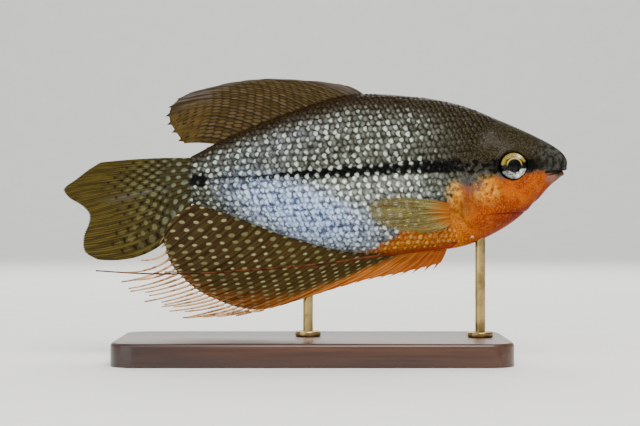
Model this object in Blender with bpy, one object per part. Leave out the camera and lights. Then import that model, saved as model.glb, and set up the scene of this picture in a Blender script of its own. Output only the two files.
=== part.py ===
"""A male pearl gourami, life size, swimming level over a plain display stand.

The fish lies along X with its snout at +X, its back up and its right side facing -Y. The origin is on
the floor, under the middle of the fish. Shapes are worked out in millimetres in the fish's own terms:
how far behind the snout, how far above the datum line that runs through the middle of the body, and
how far out to the side. Function place turns those into metres in the world.
"""

import math
import random

import bmesh
import bpy
from mathutils import Vector

MM = 0.001

# Overall sizes of the fish and its stand, in millimetres
TOTAL_LENGTH = 110.0
BODY_LENGTH = 81.5
DATUM_HEIGHT = 40.0
GAP = 0.3
WELD = 0.02

# The tail swings gently to the fish's left
BEND_START = 40.0
BEND_AT_TIP = 6.0

# Stations of the body: behind the snout, back, belly and half width
STATIONS = (
    (0.0, 2.6, 2.6, 0.0),
    (0.4, 3.9, 1.3, 0.95),
    (1.3, 5.0, -0.2, 1.6),
    (3.9, 6.8, -2.5, 2.6),
    (8.0, 8.9, -7.0, 3.9),
    (14.5, 11.8, -11.9, 5.1),
    (23.0, 15.2, -15.55, 6.1),
    (32.0, 16.9, -16.6, 6.5),
    (47.0, 17.4, -16.75, 6.2),
    (60.0, 13.7, -13.6, 4.9),
    (73.0, 8.5, -8.9, 3.1),
    (81.5, 4.1, -6.2, 1.4),
)
BACK, BELLY, HALF_WIDTH = 1, 2, 3

# The body is widest along the line of the dark stripe, which falls towards the tail
STRIPE_AT_SNOUT = 2.55
STRIPE_FALL = 0.051

# How sharply the section narrows: 1 is an ellipse, more is a keel
BACK_KEEL = 1.1
THROAT_KEEL = 1.0
TAIL_KEEL = 1.3

BODY_RINGS = 36
BODY_SPOKES = 28
RING_CROWDING = 1.5

# Where the head meets the trunk, and the trunk the tail
GILL_LINE = ((25.0, 20.0), (25.2, 8.0), (24.7, -3.0), (23.6, -10.0), (19.5, -19.0))
TAIL_CUT = 60.0

# Eye: place, radii along the head and through it, and the turn that follows the cheek
EYE_BEHIND = 12.2
EYE_ABOVE = 1.85
EYE_RADIUS = 3.1
EYE_DEPTH = 1.9
EYE_OUT = 3.65
EYE_TURN = math.radians(9.0)
RIM_RADIUS = 0.42

# Mouth: the line of the gape, the lips along it, and the hinge line of the lower jaw
GAPE_FRONT = (-0.6, 1.0)
GAPE_CORNER = (4.4, -0.1)
JAW_HINGE_FOOT = (8.3, -8.0)
LIP_RADIUS = 0.42

# Nostrils: behind the snout and above the datum line
NOSTRILS = ((5.4, 4.2), (7.0, 4.6))
NOSTRIL_RADIUS = 0.36

# Gill cover: an oval plate let into each side of the head, leaning back at its top
COVER_CENTRE = (18.8, -5.4)
COVER_HALF_LENGTH = 4.6
COVER_HALF_HEIGHT = 6.3
COVER_LEAN = math.radians(14.0)
COVER_THICKNESS = 0.9
COVER_CROWN = 0.25

# Fins. A base runs between two places behind the snout, or between two heights; a margin is where the
# membrane ends on each ray, evenly from the first ray to the last.
DORSAL_RAYS, DORSAL_BASE, DORSAL_LEAN = 15, (44.2, 76.5), 0.6
DORSAL_MARGIN = (
    (47.8, 19.4), (54.0, 20.3), (60.5, 20.6), (66.5, 20.7), (72.5, 20.1), (78.0, 18.9),
    (82.8, 17.5), (86.0, 15.0), (86.5, 12.1), (85.2, 9.5), (83.2, 6.9),
)
ANAL_RAYS, ANAL_BASE, ANAL_LEAN = 38, (26.0, 80.9), 0.3
ANAL_MARGIN = (
    (27.6, -19.4), (35.8, -21.2), (45.1, -23.0), (55.8, -26.2), (65.0, -29.0), (70.8, -28.9),
    (75.8, -27.1), (79.8, -24.8), (82.8, -22.1), (85.2, -18.9), (86.4, -13.1),
)
CAUDAL_RAYS, CAUDAL_BASE = 16, (3.7, -5.8)
CAUDAL_MARGIN = (
    (101.3, 2.9), (104.2, 1.1), (107.0, -1.0), (109.4, -2.9), (108.2, -4.8), (105.4, -6.5),
    (103.7, -8.3), (103.8, -10.5), (104.9, -13.5), (104.6, -16.6), (101.8, -18.4),
)
PECTORAL_RAYS, PECTORAL_BASE = 10, (-6.3, -10.4)
PECTORAL_ROOT = 25.0
PECTORAL_MARGIN = (
    (40.3, -5.2), (42.8, -6.6), (42.4, -8.9), (39.7, -10.2), (35.8, -11.3), (30.3, -12.2),
)
PECTORAL_FLARE = 3.2

# Half thickness of a ray and of the membrane, at the base and at the margin
RAY_HALF = (0.6, 0.38)
WEB_HALF = (0.45, 0.25)
TIP_HALF = 0.16
TIP_LENGTH = 0.7
FILAMENT_LENGTH = 12.0
SPINE_LENGTH = 1.5
FILAMENT_WIDTH = 0.24
FILAMENT_TREND = (0.98, -0.2)
FILAMENT_TURN = 0.75
RAY_SHARE = 0.24

# Pelvic fins: one long thread each, from the breast back under the anal fin
PELVIC_ROOT = (24.6, -14.7)
PELVIC_PATH = (
    (27.5, -15.6), (33.0, -16.3), (41.5, -17.5), (52.3, -19.1), (66.3, -20.3), (79.3, -21.2),
    (91.0, -21.3), (102.0, -20.7),
)
PELVIC_RADII = (0.55, 0.28)

# The stand
BASE_LENGTH, BASE_WIDTH, BASE_HEIGHT = 84.0, 40.0, 5.0
BASE_BEVEL = 0.8
BASE_CORNER = 6.0
CORNER_STEPS = 6
ROD_RADIUS = 1.1
FOOT_RADIUS, FOOT_HEIGHT, FOOT_BEVEL = 2.8, 1.2, 0.35
ROD_SIDES = 20
FRONT_ROD = (18.8, 0.0)
REAR_ROD = (56.0, 2.7)


def bend(behind):
    """How far the body's middle plane lies to the fish's left."""
    past = max(0.0, behind - BEND_START) / (TOTAL_LENGTH - BEND_START)
    return BEND_AT_TIP * past * past


def place(behind, above, side=0.0):
    """The world point, in metres, of a place on the fish in millimetres. Left is positive."""
    x = TOTAL_LENGTH / 2 - behind
    return Vector((x, side + bend(behind), DATUM_HEIGHT + above)) * MM


def station(column, behind):
    """A size of the body on a smooth curve through the stations, drawn against the root of the
    distance so that the snout is round."""
    roots = [math.sqrt(row[0]) for row in STATIONS]
    sizes = [row[column] for row in STATIONS]
    at = math.sqrt(min(max(behind, 0.0), BODY_LENGTH))
    i = max(k for k in range(len(roots) - 1) if roots[k] <= at or k == 0)

    def slope(k):
        low, high = max(k - 1, 0), min(k + 1, len(roots) - 1)
        return (sizes[high] - sizes[low]) / (roots[high] - roots[low])

    span = roots[i + 1] - roots[i]
    t = (at - roots[i]) / span
    return (
        sizes[i] * (1 + 2 * t) * (1 - t) ** 2
        + sizes[i + 1] * t * t * (3 - 2 * t)
        + slope(i) * span * t * (1 - t) ** 2
        - slope(i + 1) * span * t * t * (1 - t)
    )


def stripe(behind):
    return STRIPE_AT_SNOUT - STRIPE_FALL * behind


def belly_keel(behind):
    share = min(1.0, behind / BODY_LENGTH)
    return THROAT_KEEL + (TAIL_KEEL - THROAT_KEEL) * share


def half_width(behind, above):
    """How far out the flank is at a place on the body, or 0 past its outline."""
    middle = stripe(behind)
    if above > middle:
        reach, keel = station(BACK, behind) - middle, BACK_KEEL
    else:
        reach, keel = middle - station(BELLY, behind), belly_keel(behind)
    share = abs(above - middle) / max(reach, 1e-6)
    return station(HALF_WIDTH, behind) * max(0.0, 1 - share * share) ** (keel / 2)


def underside(behind, side):
    """The height of the lower surface at a distance out from the middle."""
    share = min(1.0, abs(side) / station(HALF_WIDTH, behind))
    depth = math.sqrt(1 - share ** (2 / belly_keel(behind)))
    return stripe(behind) - depth * (stripe(behind) - station(BELLY, behind))


def smooth(points, t):
    """A point on a smooth curve through the points, with t from 0 to 1."""
    count = len(points) - 1
    at = min(max(t, 0.0), 1.0) * count
    i = min(int(at), count - 1)
    f = at - i
    before, start, end, after = (points[min(max(k, 0), count)] for k in range(i - 1, i + 3))
    return tuple(
        0.5
        * (
            2 * b
            + (c - a) * f
            + (2 * a - 5 * b + 4 * c - d) * f * f
            + (3 * b - a - 3 * c + d) * f ** 3
        )
        for a, b, c, d in zip(before, start, end, after)
    )


def clear_scene():
    for old in list(bpy.data.objects):
        bpy.data.objects.remove(old)


def paint(name, colour, roughness, metallic=0.0):
    material = bpy.data.materials.new(name)
    material.use_nodes = True
    shader = material.node_tree.nodes["Principled BSDF"]
    shader.inputs["Base Color"].default_value = (*colour, 1.0)
    shader.inputs["Roughness"].default_value = roughness
    shader.inputs["Metallic"].default_value = metallic
    return material


def solid(name, points, faces):
    """A mesh object from world points and faces, turned so that it faces outwards."""
    mesh = bpy.data.meshes.new(name)
    mesh.from_pydata(points, [], faces)
    made = bmesh.new()
    made.from_mesh(mesh)
    bmesh.ops.triangulate(made, faces=made.faces)
    if made.calc_volume(signed=True) < 0:
        bmesh.ops.reverse_faces(made, faces=made.faces)
    made.to_mesh(mesh)
    made.free()
    body = bpy.data.objects.new(name, mesh)
    bpy.context.scene.collection.objects.link(body)
    return body


def keep_largest(body):
    """Welds slivers and leaves only the largest closed surface of a mesh, facing outwards."""
    made = bmesh.new()
    made.from_mesh(body.data)
    bmesh.ops.triangulate(made, faces=made.faces)
    bmesh.ops.remove_doubles(made, verts=made.verts, dist=WELD * MM)
    bmesh.ops.dissolve_degenerate(made, edges=made.edges, dist=WELD * MM)
    left, islands = set(made.faces), []
    while left:
        island, edge = set(), [left.pop()]
        while edge:
            face = edge.pop()
            island.add(face)
            touching = {other for side in face.edges for other in side.link_faces} & left
            left -= touching
            edge.extend(touching)
        islands.append(island)
    islands.sort(key=lambda island: sum(face.calc_area() for face in island))
    scraps = [face for island in islands[:-1] for face in island]
    bmesh.ops.delete(made, geom=scraps, context="FACES")
    bmesh.ops.triangulate(made, faces=made.faces)
    bmesh.ops.recalc_face_normals(made, faces=made.faces)
    made.to_mesh(body.data)
    made.free()


def combine(body, pieces, operation):
    """Joins, cuts or keeps the overlap of a body and the pieces, which are used up."""
    tools = bpy.data.collections.new("tools")
    for piece in pieces:
        for holder in list(piece.users_collection):
            holder.objects.unlink(piece)
        tools.objects.link(piece)
    step = body.modifiers.new("combine", "BOOLEAN")
    step.operation = operation
    step.operand_type = "COLLECTION"
    step.collection = tools
    step.solver = "EXACT"
    bpy.context.view_layer.update()
    graph = bpy.context.evaluated_depsgraph_get()
    made = bpy.data.meshes.new_from_object(body.evaluated_get(graph))
    body.modifiers.clear()
    body.data = made
    for piece in pieces:
        bpy.data.objects.remove(piece)
    bpy.data.collections.remove(tools)
    keep_largest(body)
    return body


def tube(name, path, radii, sides):
    """A closed round tube along world points. Its rings are carried along the path without twist."""
    points, faces = [], []
    across = Vector((0, 0, 1))
    for i, centre in enumerate(path):
        ahead = (path[min(i + 1, len(path) - 1)] - path[max(i - 1, 0)]).normalized()
        across = (across - ahead * across.dot(ahead)).normalized()
        out = across.cross(ahead)
        for k in range(sides):
            angle = 2 * math.pi * k / sides
            points.append(centre + (across * math.cos(angle) + out * math.sin(angle)) * radii[i] * MM)
    for i in range(len(path) - 1):
        for k in range(sides):
            a, b = i * sides + k, i * sides + (k + 1) % sides
            faces.append((a, b, b + sides, a + sides))
    faces.append(tuple(reversed(range(sides))))
    faces.append(tuple(range(len(points) - sides, len(points))))
    return solid(name, points, faces)


def slab(name, outline):
    """A cutter: an outline on the fish's side, as wide as the whole fish and more."""
    reach = 30.0
    count = len(outline)
    points = []
    for side in (-reach, reach):
        points += [Vector((TOTAL_LENGTH / 2 - b, side, DATUM_HEIGHT + a)) * MM for b, a in outline]
    faces = [tuple(range(count)), tuple(range(2 * count - 1, count - 1, -1))]
    for k in range(count):
        n = (k + 1) % count
        faces.append((k, k + count, n + count, n))
    return solid(name, points, faces)


def whole_body():
    """The flesh of the fish from snout to tail base, as one closed skin."""
    points = [place(0.0, station(BACK, 0.0))]
    faces = []
    rings = [BODY_LENGTH * (i / BODY_RINGS) ** RING_CROWDING for i in range(1, BODY_RINGS + 1)]
    for behind in rings:
        middle = stripe(behind)
        for k in range(BODY_SPOKES):
            angle = 2 * math.pi * k / BODY_SPOKES
            up = math.sin(angle)
            edge = station(BACK if up > 0 else BELLY, behind)
            above = middle + abs(up) * (edge - middle)
            side = math.copysign(half_width(behind, above), math.cos(angle))
            if abs(abs(up) - 1) < 1e-9:
                side = 0.0
            points.append(place(behind, above, side))
    for k in range(BODY_SPOKES):
        faces.append((0, 1 + k, 1 + (k + 1) % BODY_SPOKES))
    for i in range(len(rings) - 1):
        for k in range(BODY_SPOKES):
            a = 1 + i * BODY_SPOKES + k
            b = 1 + i * BODY_SPOKES + (k + 1) % BODY_SPOKES
            faces.append((a, a + BODY_SPOKES, b + BODY_SPOKES, b))
    last = len(points) - BODY_SPOKES
    faces.append(tuple(range(last, len(points))))
    return solid("body", points, faces)


def gill_line(shift):
    """The cut between head and trunk, moved back by a distance."""
    steps = 12
    return [
        (behind + shift, above)
        for behind, above in (smooth(GILL_LINE, i / steps) for i in range(steps + 1))
    ]


def eye_frame(side):
    """Centre of an eyeball in the world and the unit vector that it looks along."""
    centre = place(EYE_BEHIND, EYE_ABOVE, side * EYE_OUT)
    return centre, Vector((math.sin(EYE_TURN), side * math.cos(EYE_TURN), 0))


def eyeball(name, side, grow=0.0, across=20, along=10):
    """An eyeball flattened from side to side, larger all round by grow."""
    centre, looking = eye_frame(side)
    front = Vector((looking.y, -looking.x, 0))
    up = Vector((0, 0, 1))
    wide, deep = (EYE_RADIUS + grow) * MM, (EYE_DEPTH + grow) * MM
    points = [centre + looking * deep]
    for i in range(1, along):
        tilt = math.pi * i / along
        for k in range(across):
            angle = 2 * math.pi * k / across
            flat = front * math.cos(angle) + up * math.sin(angle)
            points.append(centre + looking * deep * math.cos(tilt) + flat * wide * math.sin(tilt))
    points.append(centre - looking * deep)
    end = len(points) - 1
    faces = []
    for k in range(across):
        n = (k + 1) % across
        faces.append((0, 1 + k, 1 + n))
        faces.append((end, end - across + n, end - across + k))
        for i in range(along - 2):
            row = 1 + i * across
            faces.append((row + k, row + across + k, row + across + n, row + n))
    return solid(name, points, faces)


def eye_rim(side, around=20, sides=6):
    """The raised rim of bone and skin round the socket."""
    centre, looking = eye_frame(side)
    front = Vector((looking.y, -looking.x, 0))
    up = Vector((0, 0, 1))
    middle = centre + looking * 0.75 * MM
    ring = (EYE_RADIUS + 0.15) * MM
    points, faces = [], []
    for i in range(around):
        turn = 2 * math.pi * i / around
        spoke = front * math.cos(turn) + up * math.sin(turn)
        for k in range(sides):
            angle = 2 * math.pi * k / sides
            points.append(
                middle
                + spoke * (ring + RIM_RADIUS * MM * math.cos(angle))
                + looking * RIM_RADIUS * MM * math.sin(angle)
            )
    for i in range(around):
        for k in range(sides):
            a, b = i * sides + k, i * sides + (k + 1) % sides
            c, d = (i + 1) % around * sides + (k + 1) % sides, (i + 1) % around * sides + k
            faces.append((a, b, c, d))
    return solid("eye_rim", points, faces)


def gape(share):
    """A point of the gape line, from its front to its corner."""
    return (
        GAPE_FRONT[0] + share * (GAPE_CORNER[0] - GAPE_FRONT[0]),
        GAPE_FRONT[1] + share * (GAPE_CORNER[1] - GAPE_FRONT[1]),
    )


def lip(name, lift):
    """A lip: a tube that runs from one corner of the mouth round its front to the other."""
    steps = 9
    front = next(i / 400 for i in range(-100, 400) if half_width(*raised_gape(i / 400, lift)) > 0.05)
    ring = []
    for i in range(-steps, steps + 1):
        share = front + (1 - front) * (1 - math.cos(math.pi / 2 * i / steps))
        behind, above = raised_gape(share, lift)
        side = 0.97 * half_width(behind, above) if i else 0.0
        ring.append(place(behind, above, math.copysign(side, i)))
    radii = [LIP_RADIUS * (1 - 0.45 * (i / steps) ** 2) for i in range(-steps, steps + 1)]
    return tube(name, ring, radii, 6)


def raised_gape(share, lift):
    behind, above = gape(share)
    return behind, above + lift


def nostril(behind, above, side):
    """A cutter for one nostril."""
    centre = place(behind, above, side * half_width(behind, above))
    bpy.ops.mesh.primitive_ico_sphere_add(subdivisions=1, radius=NOSTRIL_RADIUS * MM, location=centre)
    return bpy.context.object


def plate(name, side, inner, outer, grow, spokes=24, rings=4):
    """A plate over the oval of the gill cover, between two depths under the flank."""
    lean = Vector((math.cos(COVER_LEAN), math.sin(COVER_LEAN)))
    rise = Vector((-lean.y, lean.x))
    flats = [(Vector(COVER_CENTRE), 0.0)]
    for i in range(1, rings + 1):
        share = i / rings
        for k in range(spokes):
            angle = 2 * math.pi * k / spokes
            along = (COVER_HALF_LENGTH + grow) * math.cos(angle)
            high = (COVER_HALF_HEIGHT + grow) * math.sin(angle)
            flats.append((Vector(COVER_CENTRE) + (lean * along + rise * high) * share, share))
    count = len(flats)
    points = []
    for depth in (outer, inner):
        for at, share in flats:
            out = half_width(at.x, at.y) + depth(share)
            points.append(place(at.x, at.y, side * out))
    faces = []
    for k in range(spokes):
        n = (k + 1) % spokes
        for base, turned in ((0, False), (count, True)):
            sheet = [(base, base + 1 + k, base + 1 + n)]
            for i in range(rings - 1):
                row = base + 1 + i * spokes
                sheet.append((row + k, row + spokes + k, row + spokes + n, row + n))
            faces += [tuple(reversed(face)) for face in sheet] if turned else sheet
        rim = 1 + (rings - 1) * spokes
        faces.append((rim + k, rim + k + count, rim + n + count, rim + n))
    return solid(name, points, faces)


def gill_cover(name, side):
    return plate(
        name,
        side,
        lambda share: -COVER_THICKNESS,
        lambda share: COVER_CROWN * (1 - share ** 4),
        0.0,
    )


def gill_pocket(side):
    """A cutter for the place that a gill cover lies in."""
    return plate("pocket", side, lambda share: -COVER_THICKNESS - GAP, lambda share: 2.5, GAP)


def head_region():
    line = gill_line(-GAP / 2)
    return slab("head_region", line + [(-5.0, -19.0), (-5.0, 20.0)])


def jaw_region(grow):
    """The wedge of the lower jaw, drawn back from its neighbours by a negative grow."""
    corner = (GAPE_CORNER[0] + grow, GAPE_CORNER[1] + grow)
    front = (GAPE_FRONT[0] - 4.0, raised_gape(-0.8, grow)[1])
    foot = (JAW_HINGE_FOOT[0] + grow, JAW_HINGE_FOOT[1] - 2.0)
    return slab("jaw_region", [front, corner, foot, (front[0], foot[1])])


def copy_of(body, name):
    twin = bpy.data.objects.new(name, body.data.copy())
    bpy.context.scene.collection.objects.link(twin)
    return twin


def head(body):
    """The head with its upper lip, sockets, nostrils and the places for the gill covers."""
    made = combine(copy_of(body, "head"), [head_region()], "INTERSECT")
    combine(made, [eye_rim(-1), eye_rim(1), lip("upper_lip", LIP_RADIUS + GAP / 2)], "UNION")
    cutters = [jaw_region(GAP / 2)]
    for side in (-1, 1):
        cutters.append(eyeball("socket", side, GAP, 20, 8))
        cutters.append(gill_pocket(side))
        cutters += [nostril(behind, above, side) for behind, above in NOSTRILS]
    return combine(made, cutters, "DIFFERENCE")


def lower_jaw(body):
    made = combine(copy_of(body, "lower_jaw"), [lip("lower_lip", -LIP_RADIUS - GAP / 2)], "UNION")
    return combine(made, [jaw_region(-GAP / 2)], "INTERSECT")


def trunk(body):
    line = gill_line(GAP / 2)
    back = TAIL_CUT - GAP / 2
    region = slab("trunk_region", line + [(back, -25.0), (back, 25.0)])
    return combine(copy_of(body, "trunk"), [region], "INTERSECT")


def tail(body):
    front = TAIL_CUT + GAP / 2
    region = slab("tail_region", [(front, 25.0), (front, -25.0), (100.0, -25.0), (100.0, 25.0)])
    return combine(copy_of(body, "tail"), [region], "INTERSECT")


def between(ends, share):
    return ends[0] + (ends[1] - ends[0]) * share


def leaned(u, lean):
    """How far along its base a ray starts. Lean crowds the first rays forward, so that they sweep back."""
    return (1 - lean) * u + lean * u ** 2.3


def sheet(name, spots, cells):
    """A thin closed sheet. A spot is behind, above, side and half thickness; a cell is four spots or
    three. Both faces are split into triangles alike, and walls close every free edge."""
    count = len(spots)
    points = [place(b, a, side + half) for b, a, side, half in spots]
    points += [place(b, a, side - half) for b, a, side, half in spots]
    near = []
    for cell in cells:
        near += [(cell[0], cell[i], cell[i + 1]) for i in range(1, len(cell) - 1)]
    edges = {(face[i], face[(i + 1) % 3]) for face in near for i in range(3)}
    faces = near + [tuple(count + i for i in reversed(face)) for face in near]
    faces += [(b, a, a + count, b + count) for a, b in sorted(edges) if (b, a) not in edges]
    return solid(name, points, faces)


def fin(name, rays, rows, base, margin, bow, side, reach, root=1.0):
    """A fin whose rays stand out from its membrane as ridges, each with a free tip.

    base and margin give places along the first and last line of the fin, bow how far a ray arches to
    its upper side, side where the middle of the sheet lies, reach the length of a free tip and root
    how many times thicker the fin is where it leaves the body."""

    def along(u, v):
        start, end = Vector(base(u)), Vector(smooth(margin, u))
        chord = end - start
        lift = Vector((-chord.y, chord.x)).normalized() * bow(u) * 4 * v * (1 - v)
        return start + chord * v + lift

    spots, cells, strips = [], [], []
    for k in range(rays):
        columns = []
        for offset in (-RAY_SHARE, 0.0, RAY_SHARE):
            u = (k + 0.5 + offset) / rays
            halves = RAY_HALF if offset == 0.0 else WEB_HALF
            column = []
            for j in range(rows + 1):
                v = j / rows
                at = along(u, v)
                half = between(halves, v) * (1 + (root - 1) * max(0.0, 1 - 6 * v))
                column.append(len(spots))
                spots.append((at.x, at.y, side(u, v, at), half))
            columns.append(column)
        strips.append(columns)
        cells += web(columns[0], columns[1]) + web(columns[1], columns[2])
        add_tip(spots, cells, [column[-1] for column in columns], k, rays, along, side, reach)
    for left, right in zip(strips, strips[1:]):
        cells += web(left[2], right[0])
    return sheet(name, spots, cells)


def web(left, right):
    return [(left[j], left[j + 1], right[j + 1], right[j]) for j in range(len(left) - 1)]


def add_tip(spots, cells, end, k, rays, along, side, reach):
    """The free tip of a ray past the membrane: a short point, or a thread that narrows."""
    u = (k + 0.5) / rays
    foot = along(u, 1.0)
    heading = (foot - along(u, 0.96)).normalized()
    across = Vector((heading.y, -heading.x))
    if across.dot(along(u - 0.2 / rays, 1.0) - foot) < 0:
        across = -across
    length = reach(u, k)
    thread = length > 2.5

    def out(share):
        """A place along the tip. A thread turns from its ray's heading towards the common trend."""
        turn = FILAMENT_TURN * share if thread else 0.0
        return foot + (heading * (1 - turn) + Vector(FILAMENT_TREND) * turn) * length * share

    row = end
    for share in (0.25, 0.6) if thread else ():
        centre = out(share)
        width = FILAMENT_WIDTH * (1.1 - share)
        middle = side(u, 1.0 + share, centre)
        halves = (TIP_HALF, between((RAY_HALF[1], TIP_HALF), share), TIP_HALF)
        ring = []
        for shift, half in zip((width, 0.0, -width), halves):
            at = centre + across * shift
            ring.append(len(spots))
            spots.append((at.x, at.y, middle, half))
        cells += [(row[0], ring[0], ring[1], row[1]), (row[1], ring[1], ring[2], row[2])]
        row = ring
    point = out(1.0)
    tip = len(spots)
    spots.append((point.x, point.y, side(u, 2.0 if thread else 1.0, point), TIP_HALF * 0.6))
    cells += [(row[0], tip, row[1]), (row[1], tip, row[2])]


def dorsal_fin():
    def base(u):
        behind = between(DORSAL_BASE, leaned(u, DORSAL_LEAN))
        return behind, station(BACK, behind) + GAP

    return fin(
        "dorsal_fin", DORSAL_RAYS, 6, base, DORSAL_MARGIN,
        bow=lambda u: 0.2 + 2.4 * math.sin(math.pi * u ** 1.6),
        side=lambda u, v, at: 0.8 * v * v * math.sin(2.6 * u),
        reach=lambda u, k: TIP_LENGTH,
    )


def anal_fin():
    random.seed(5)
    lengths = [random.uniform(0.72, 1.0) for _ in range(ANAL_RAYS)]

    def base(u):
        behind = between(ANAL_BASE, leaned(u, ANAL_LEAN))
        return behind, station(BELLY, behind) - GAP

    def reach(u, k):
        """The front spines end in points. Threads trail from the rear corner."""
        if u < 0.28:
            return SPINE_LENGTH
        rise = min(max((u - 0.38) / 0.1, 0.0), 1.0)
        fall = min(max((0.965 - u) / 0.06, 0.0), 1.0)
        return TIP_LENGTH + FILAMENT_LENGTH * rise * fall * lengths[k]

    return fin(
        "anal_fin", ANAL_RAYS, 5, base, ANAL_MARGIN,
        bow=lambda u: -0.1 - 1.3 * math.sin(math.pi * u ** 1.4),
        side=lambda u, v, at: -0.7 * u * u * v * v,
        reach=reach,
    )


def caudal_fin():
    return fin(
        "caudal_fin", CAUDAL_RAYS, 6,
        lambda u: (BODY_LENGTH + GAP, between(CAUDAL_BASE, u)), CAUDAL_MARGIN,
        bow=lambda u: 0.3 - 3.6 * u ** 4,
        side=lambda u, v, at: 0.8 * v * v * (1 - 2 * u),
        reach=lambda u, k: TIP_LENGTH,
        root=1.9,
    )


def pectoral_fin(name, side):
    def out(u, v, at):
        flare = PECTORAL_FLARE * max(0.0, min(v, 1.0) - 0.08) ** 1.3
        return side * (half_width(at.x, at.y) + GAP + between(RAY_HALF, v) + 0.05 + flare)

    return fin(
        name, PECTORAL_RAYS, 5,
        lambda u: (PECTORAL_ROOT, between(PECTORAL_BASE, u)), PECTORAL_MARGIN,
        bow=lambda u: 0.6 - 1.2 * u,
        side=out,
        reach=lambda u, k: 0.4,
    )


def pelvic_fin(name, side, length, spread):
    """A thread from the breast, clear of the belly and of the anal fin. It is drawn up to a share of
    its path, and it spreads from the middle plane towards its tip."""
    steps = 22
    behind, above = PELVIC_ROOT
    root = half_width(behind, above)
    points = [place(behind, above, side * (root + GAP))]
    points.append(place(behind + 0.5, above - 0.6, side * (root + 0.9)))
    for i in range(steps + 1):
        share = length * i / steps
        behind, above = smooth(PELVIC_PATH, share)
        clear = max(half_width(behind, above + 0.6), 0.9) + 0.85
        points.append(place(behind, above, side * (clear + spread * share ** 1.2)))
    radii = [between(PELVIC_RADII, i / (len(points) - 1)) for i in range(len(points) - 1)] + [0.12]
    return tube(name, points, radii, 8)


def stand_base():
    """A plate with rounded corners and a small bevel round its top."""
    outline = []
    for quarter, (along, across) in enumerate(((1, 1), (-1, 1), (-1, -1), (1, -1))):
        for step in range(CORNER_STEPS + 1):
            angle = math.pi / 2 * (quarter + step / CORNER_STEPS)
            outline.append((along, across, math.cos(angle), math.sin(angle)))
    points, faces = [], []
    for inset, height in ((0.0, 0.0), (0.0, BASE_HEIGHT - BASE_BEVEL), (BASE_BEVEL, BASE_HEIGHT)):
        radius = BASE_CORNER - inset
        for along, across, cosine, sine in outline:
            x = along * (BASE_LENGTH / 2 - BASE_CORNER) + radius * cosine
            y = across * (BASE_WIDTH / 2 - BASE_CORNER) + radius * sine
            points.append(Vector((x, y, height)) * MM)
    count = len(outline)
    for ring in range(2):
        for k in range(count):
            a, b = ring * count + k, ring * count + (k + 1) % count
            faces.append((a, b, b + count, a + count))
    faces.append(tuple(reversed(range(count))))
    faces.append(tuple(range(2 * count, 3 * count)))
    return solid("stand_base", points, faces)


def stand_rod(name, behind, side):
    """An upright rod on a low foot, whose top is cut to the underside of the body."""
    floor = BASE_HEIGHT + GAP
    top = floor + FOOT_HEIGHT
    rings = (
        (FOOT_RADIUS, floor),
        (FOOT_RADIUS, top - FOOT_BEVEL),
        (FOOT_RADIUS - FOOT_BEVEL, top),
        (ROD_RADIUS, top),
        (ROD_RADIUS, None),
    )
    centre = place(behind, 0.0, side)
    points, faces = [], []
    for radius, height in rings:
        for k in range(ROD_SIDES):
            angle = 2 * math.pi * k / ROD_SIDES
            shift = Vector((math.cos(angle), math.sin(angle))) * radius
            level = height
            if level is None:
                level = DATUM_HEIGHT + underside(behind - shift.x, side + shift.y) - GAP
            points.append(Vector((centre.x + shift.x * MM, centre.y + shift.y * MM, level * MM)))
    for ring in range(len(rings) - 1):
        for k in range(ROD_SIDES):
            a, b = ring * ROD_SIDES + k, ring * ROD_SIDES + (k + 1) % ROD_SIDES
            faces.append((a, b, b + ROD_SIDES, a + ROD_SIDES))
    faces.append(tuple(reversed(range(ROD_SIDES))))
    last = len(points) - ROD_SIDES
    points.append(Vector((centre.x, centre.y, (DATUM_HEIGHT + underside(behind, side) - GAP) * MM)))
    faces += [(last + k, last + (k + 1) % ROD_SIDES, len(points) - 1) for k in range(ROD_SIDES)]
    return solid(name, points, faces)


def main():
    clear_scene()
    body = whole_body()
    parts = {
        "head": (head(body), paint("head_skin", (0.08, 0.05, 0.04), 0.35)),
        "lower_jaw": (lower_jaw(body), paint("jaw_skin", (0.6, 0.15, 0.03), 0.35)),
        "trunk": (trunk(body), paint("trunk_scales", (0.25, 0.24, 0.24), 0.35)),
        "tail": (tail(body), paint("tail_scales", (0.2, 0.18, 0.15), 0.35)),
    }
    bpy.data.objects.remove(body)
    cover = paint("gill_cover_skin", (0.55, 0.2, 0.04), 0.3)
    iris = paint("iris", (0.75, 0.6, 0.12), 0.15)
    thread = paint("pelvic_thread", (0.75, 0.35, 0.2), 0.4)
    clear = paint("pectoral_membrane", (0.35, 0.28, 0.1), 0.35)
    brass = paint("brass", (0.7, 0.5, 0.22), 0.3, 1.0)
    for label, side in (("right", -1), ("left", 1)):
        parts["gill_cover_" + label] = (gill_cover("cover", side), cover)
        parts["eye_" + label] = (eyeball("eye", side), iris)
        parts["pectoral_fin_" + label] = (pectoral_fin("pectoral", side), clear)
    parts["pelvic_fin_right"] = (pelvic_fin("pelvic", -1, 1.0, 1.6), thread)
    parts["pelvic_fin_left"] = (pelvic_fin("pelvic", 1, 0.82, 9.5), thread)
    parts["dorsal_fin"] = (dorsal_fin(), paint("dorsal_membrane", (0.2, 0.15, 0.1), 0.4))
    parts["anal_fin"] = (anal_fin(), paint("anal_membrane", (0.22, 0.16, 0.07), 0.4))
    parts["caudal_fin"] = (caudal_fin(), paint("caudal_membrane", (0.22, 0.19, 0.1), 0.4))
    parts["stand_base"] = (stand_base(), paint("dark_wood", (0.12, 0.06, 0.03), 0.45))
    parts["stand_rod_front"] = (stand_rod("rod", *FRONT_ROD), brass)
    parts["stand_rod_rear"] = (stand_rod("rod", *REAR_ROD), brass)
    for name, (made, material) in parts.items():
        made.name = name
        made.data.name = name
        made.data.materials.clear()
        made.data.materials.append(material)


main()
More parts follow.
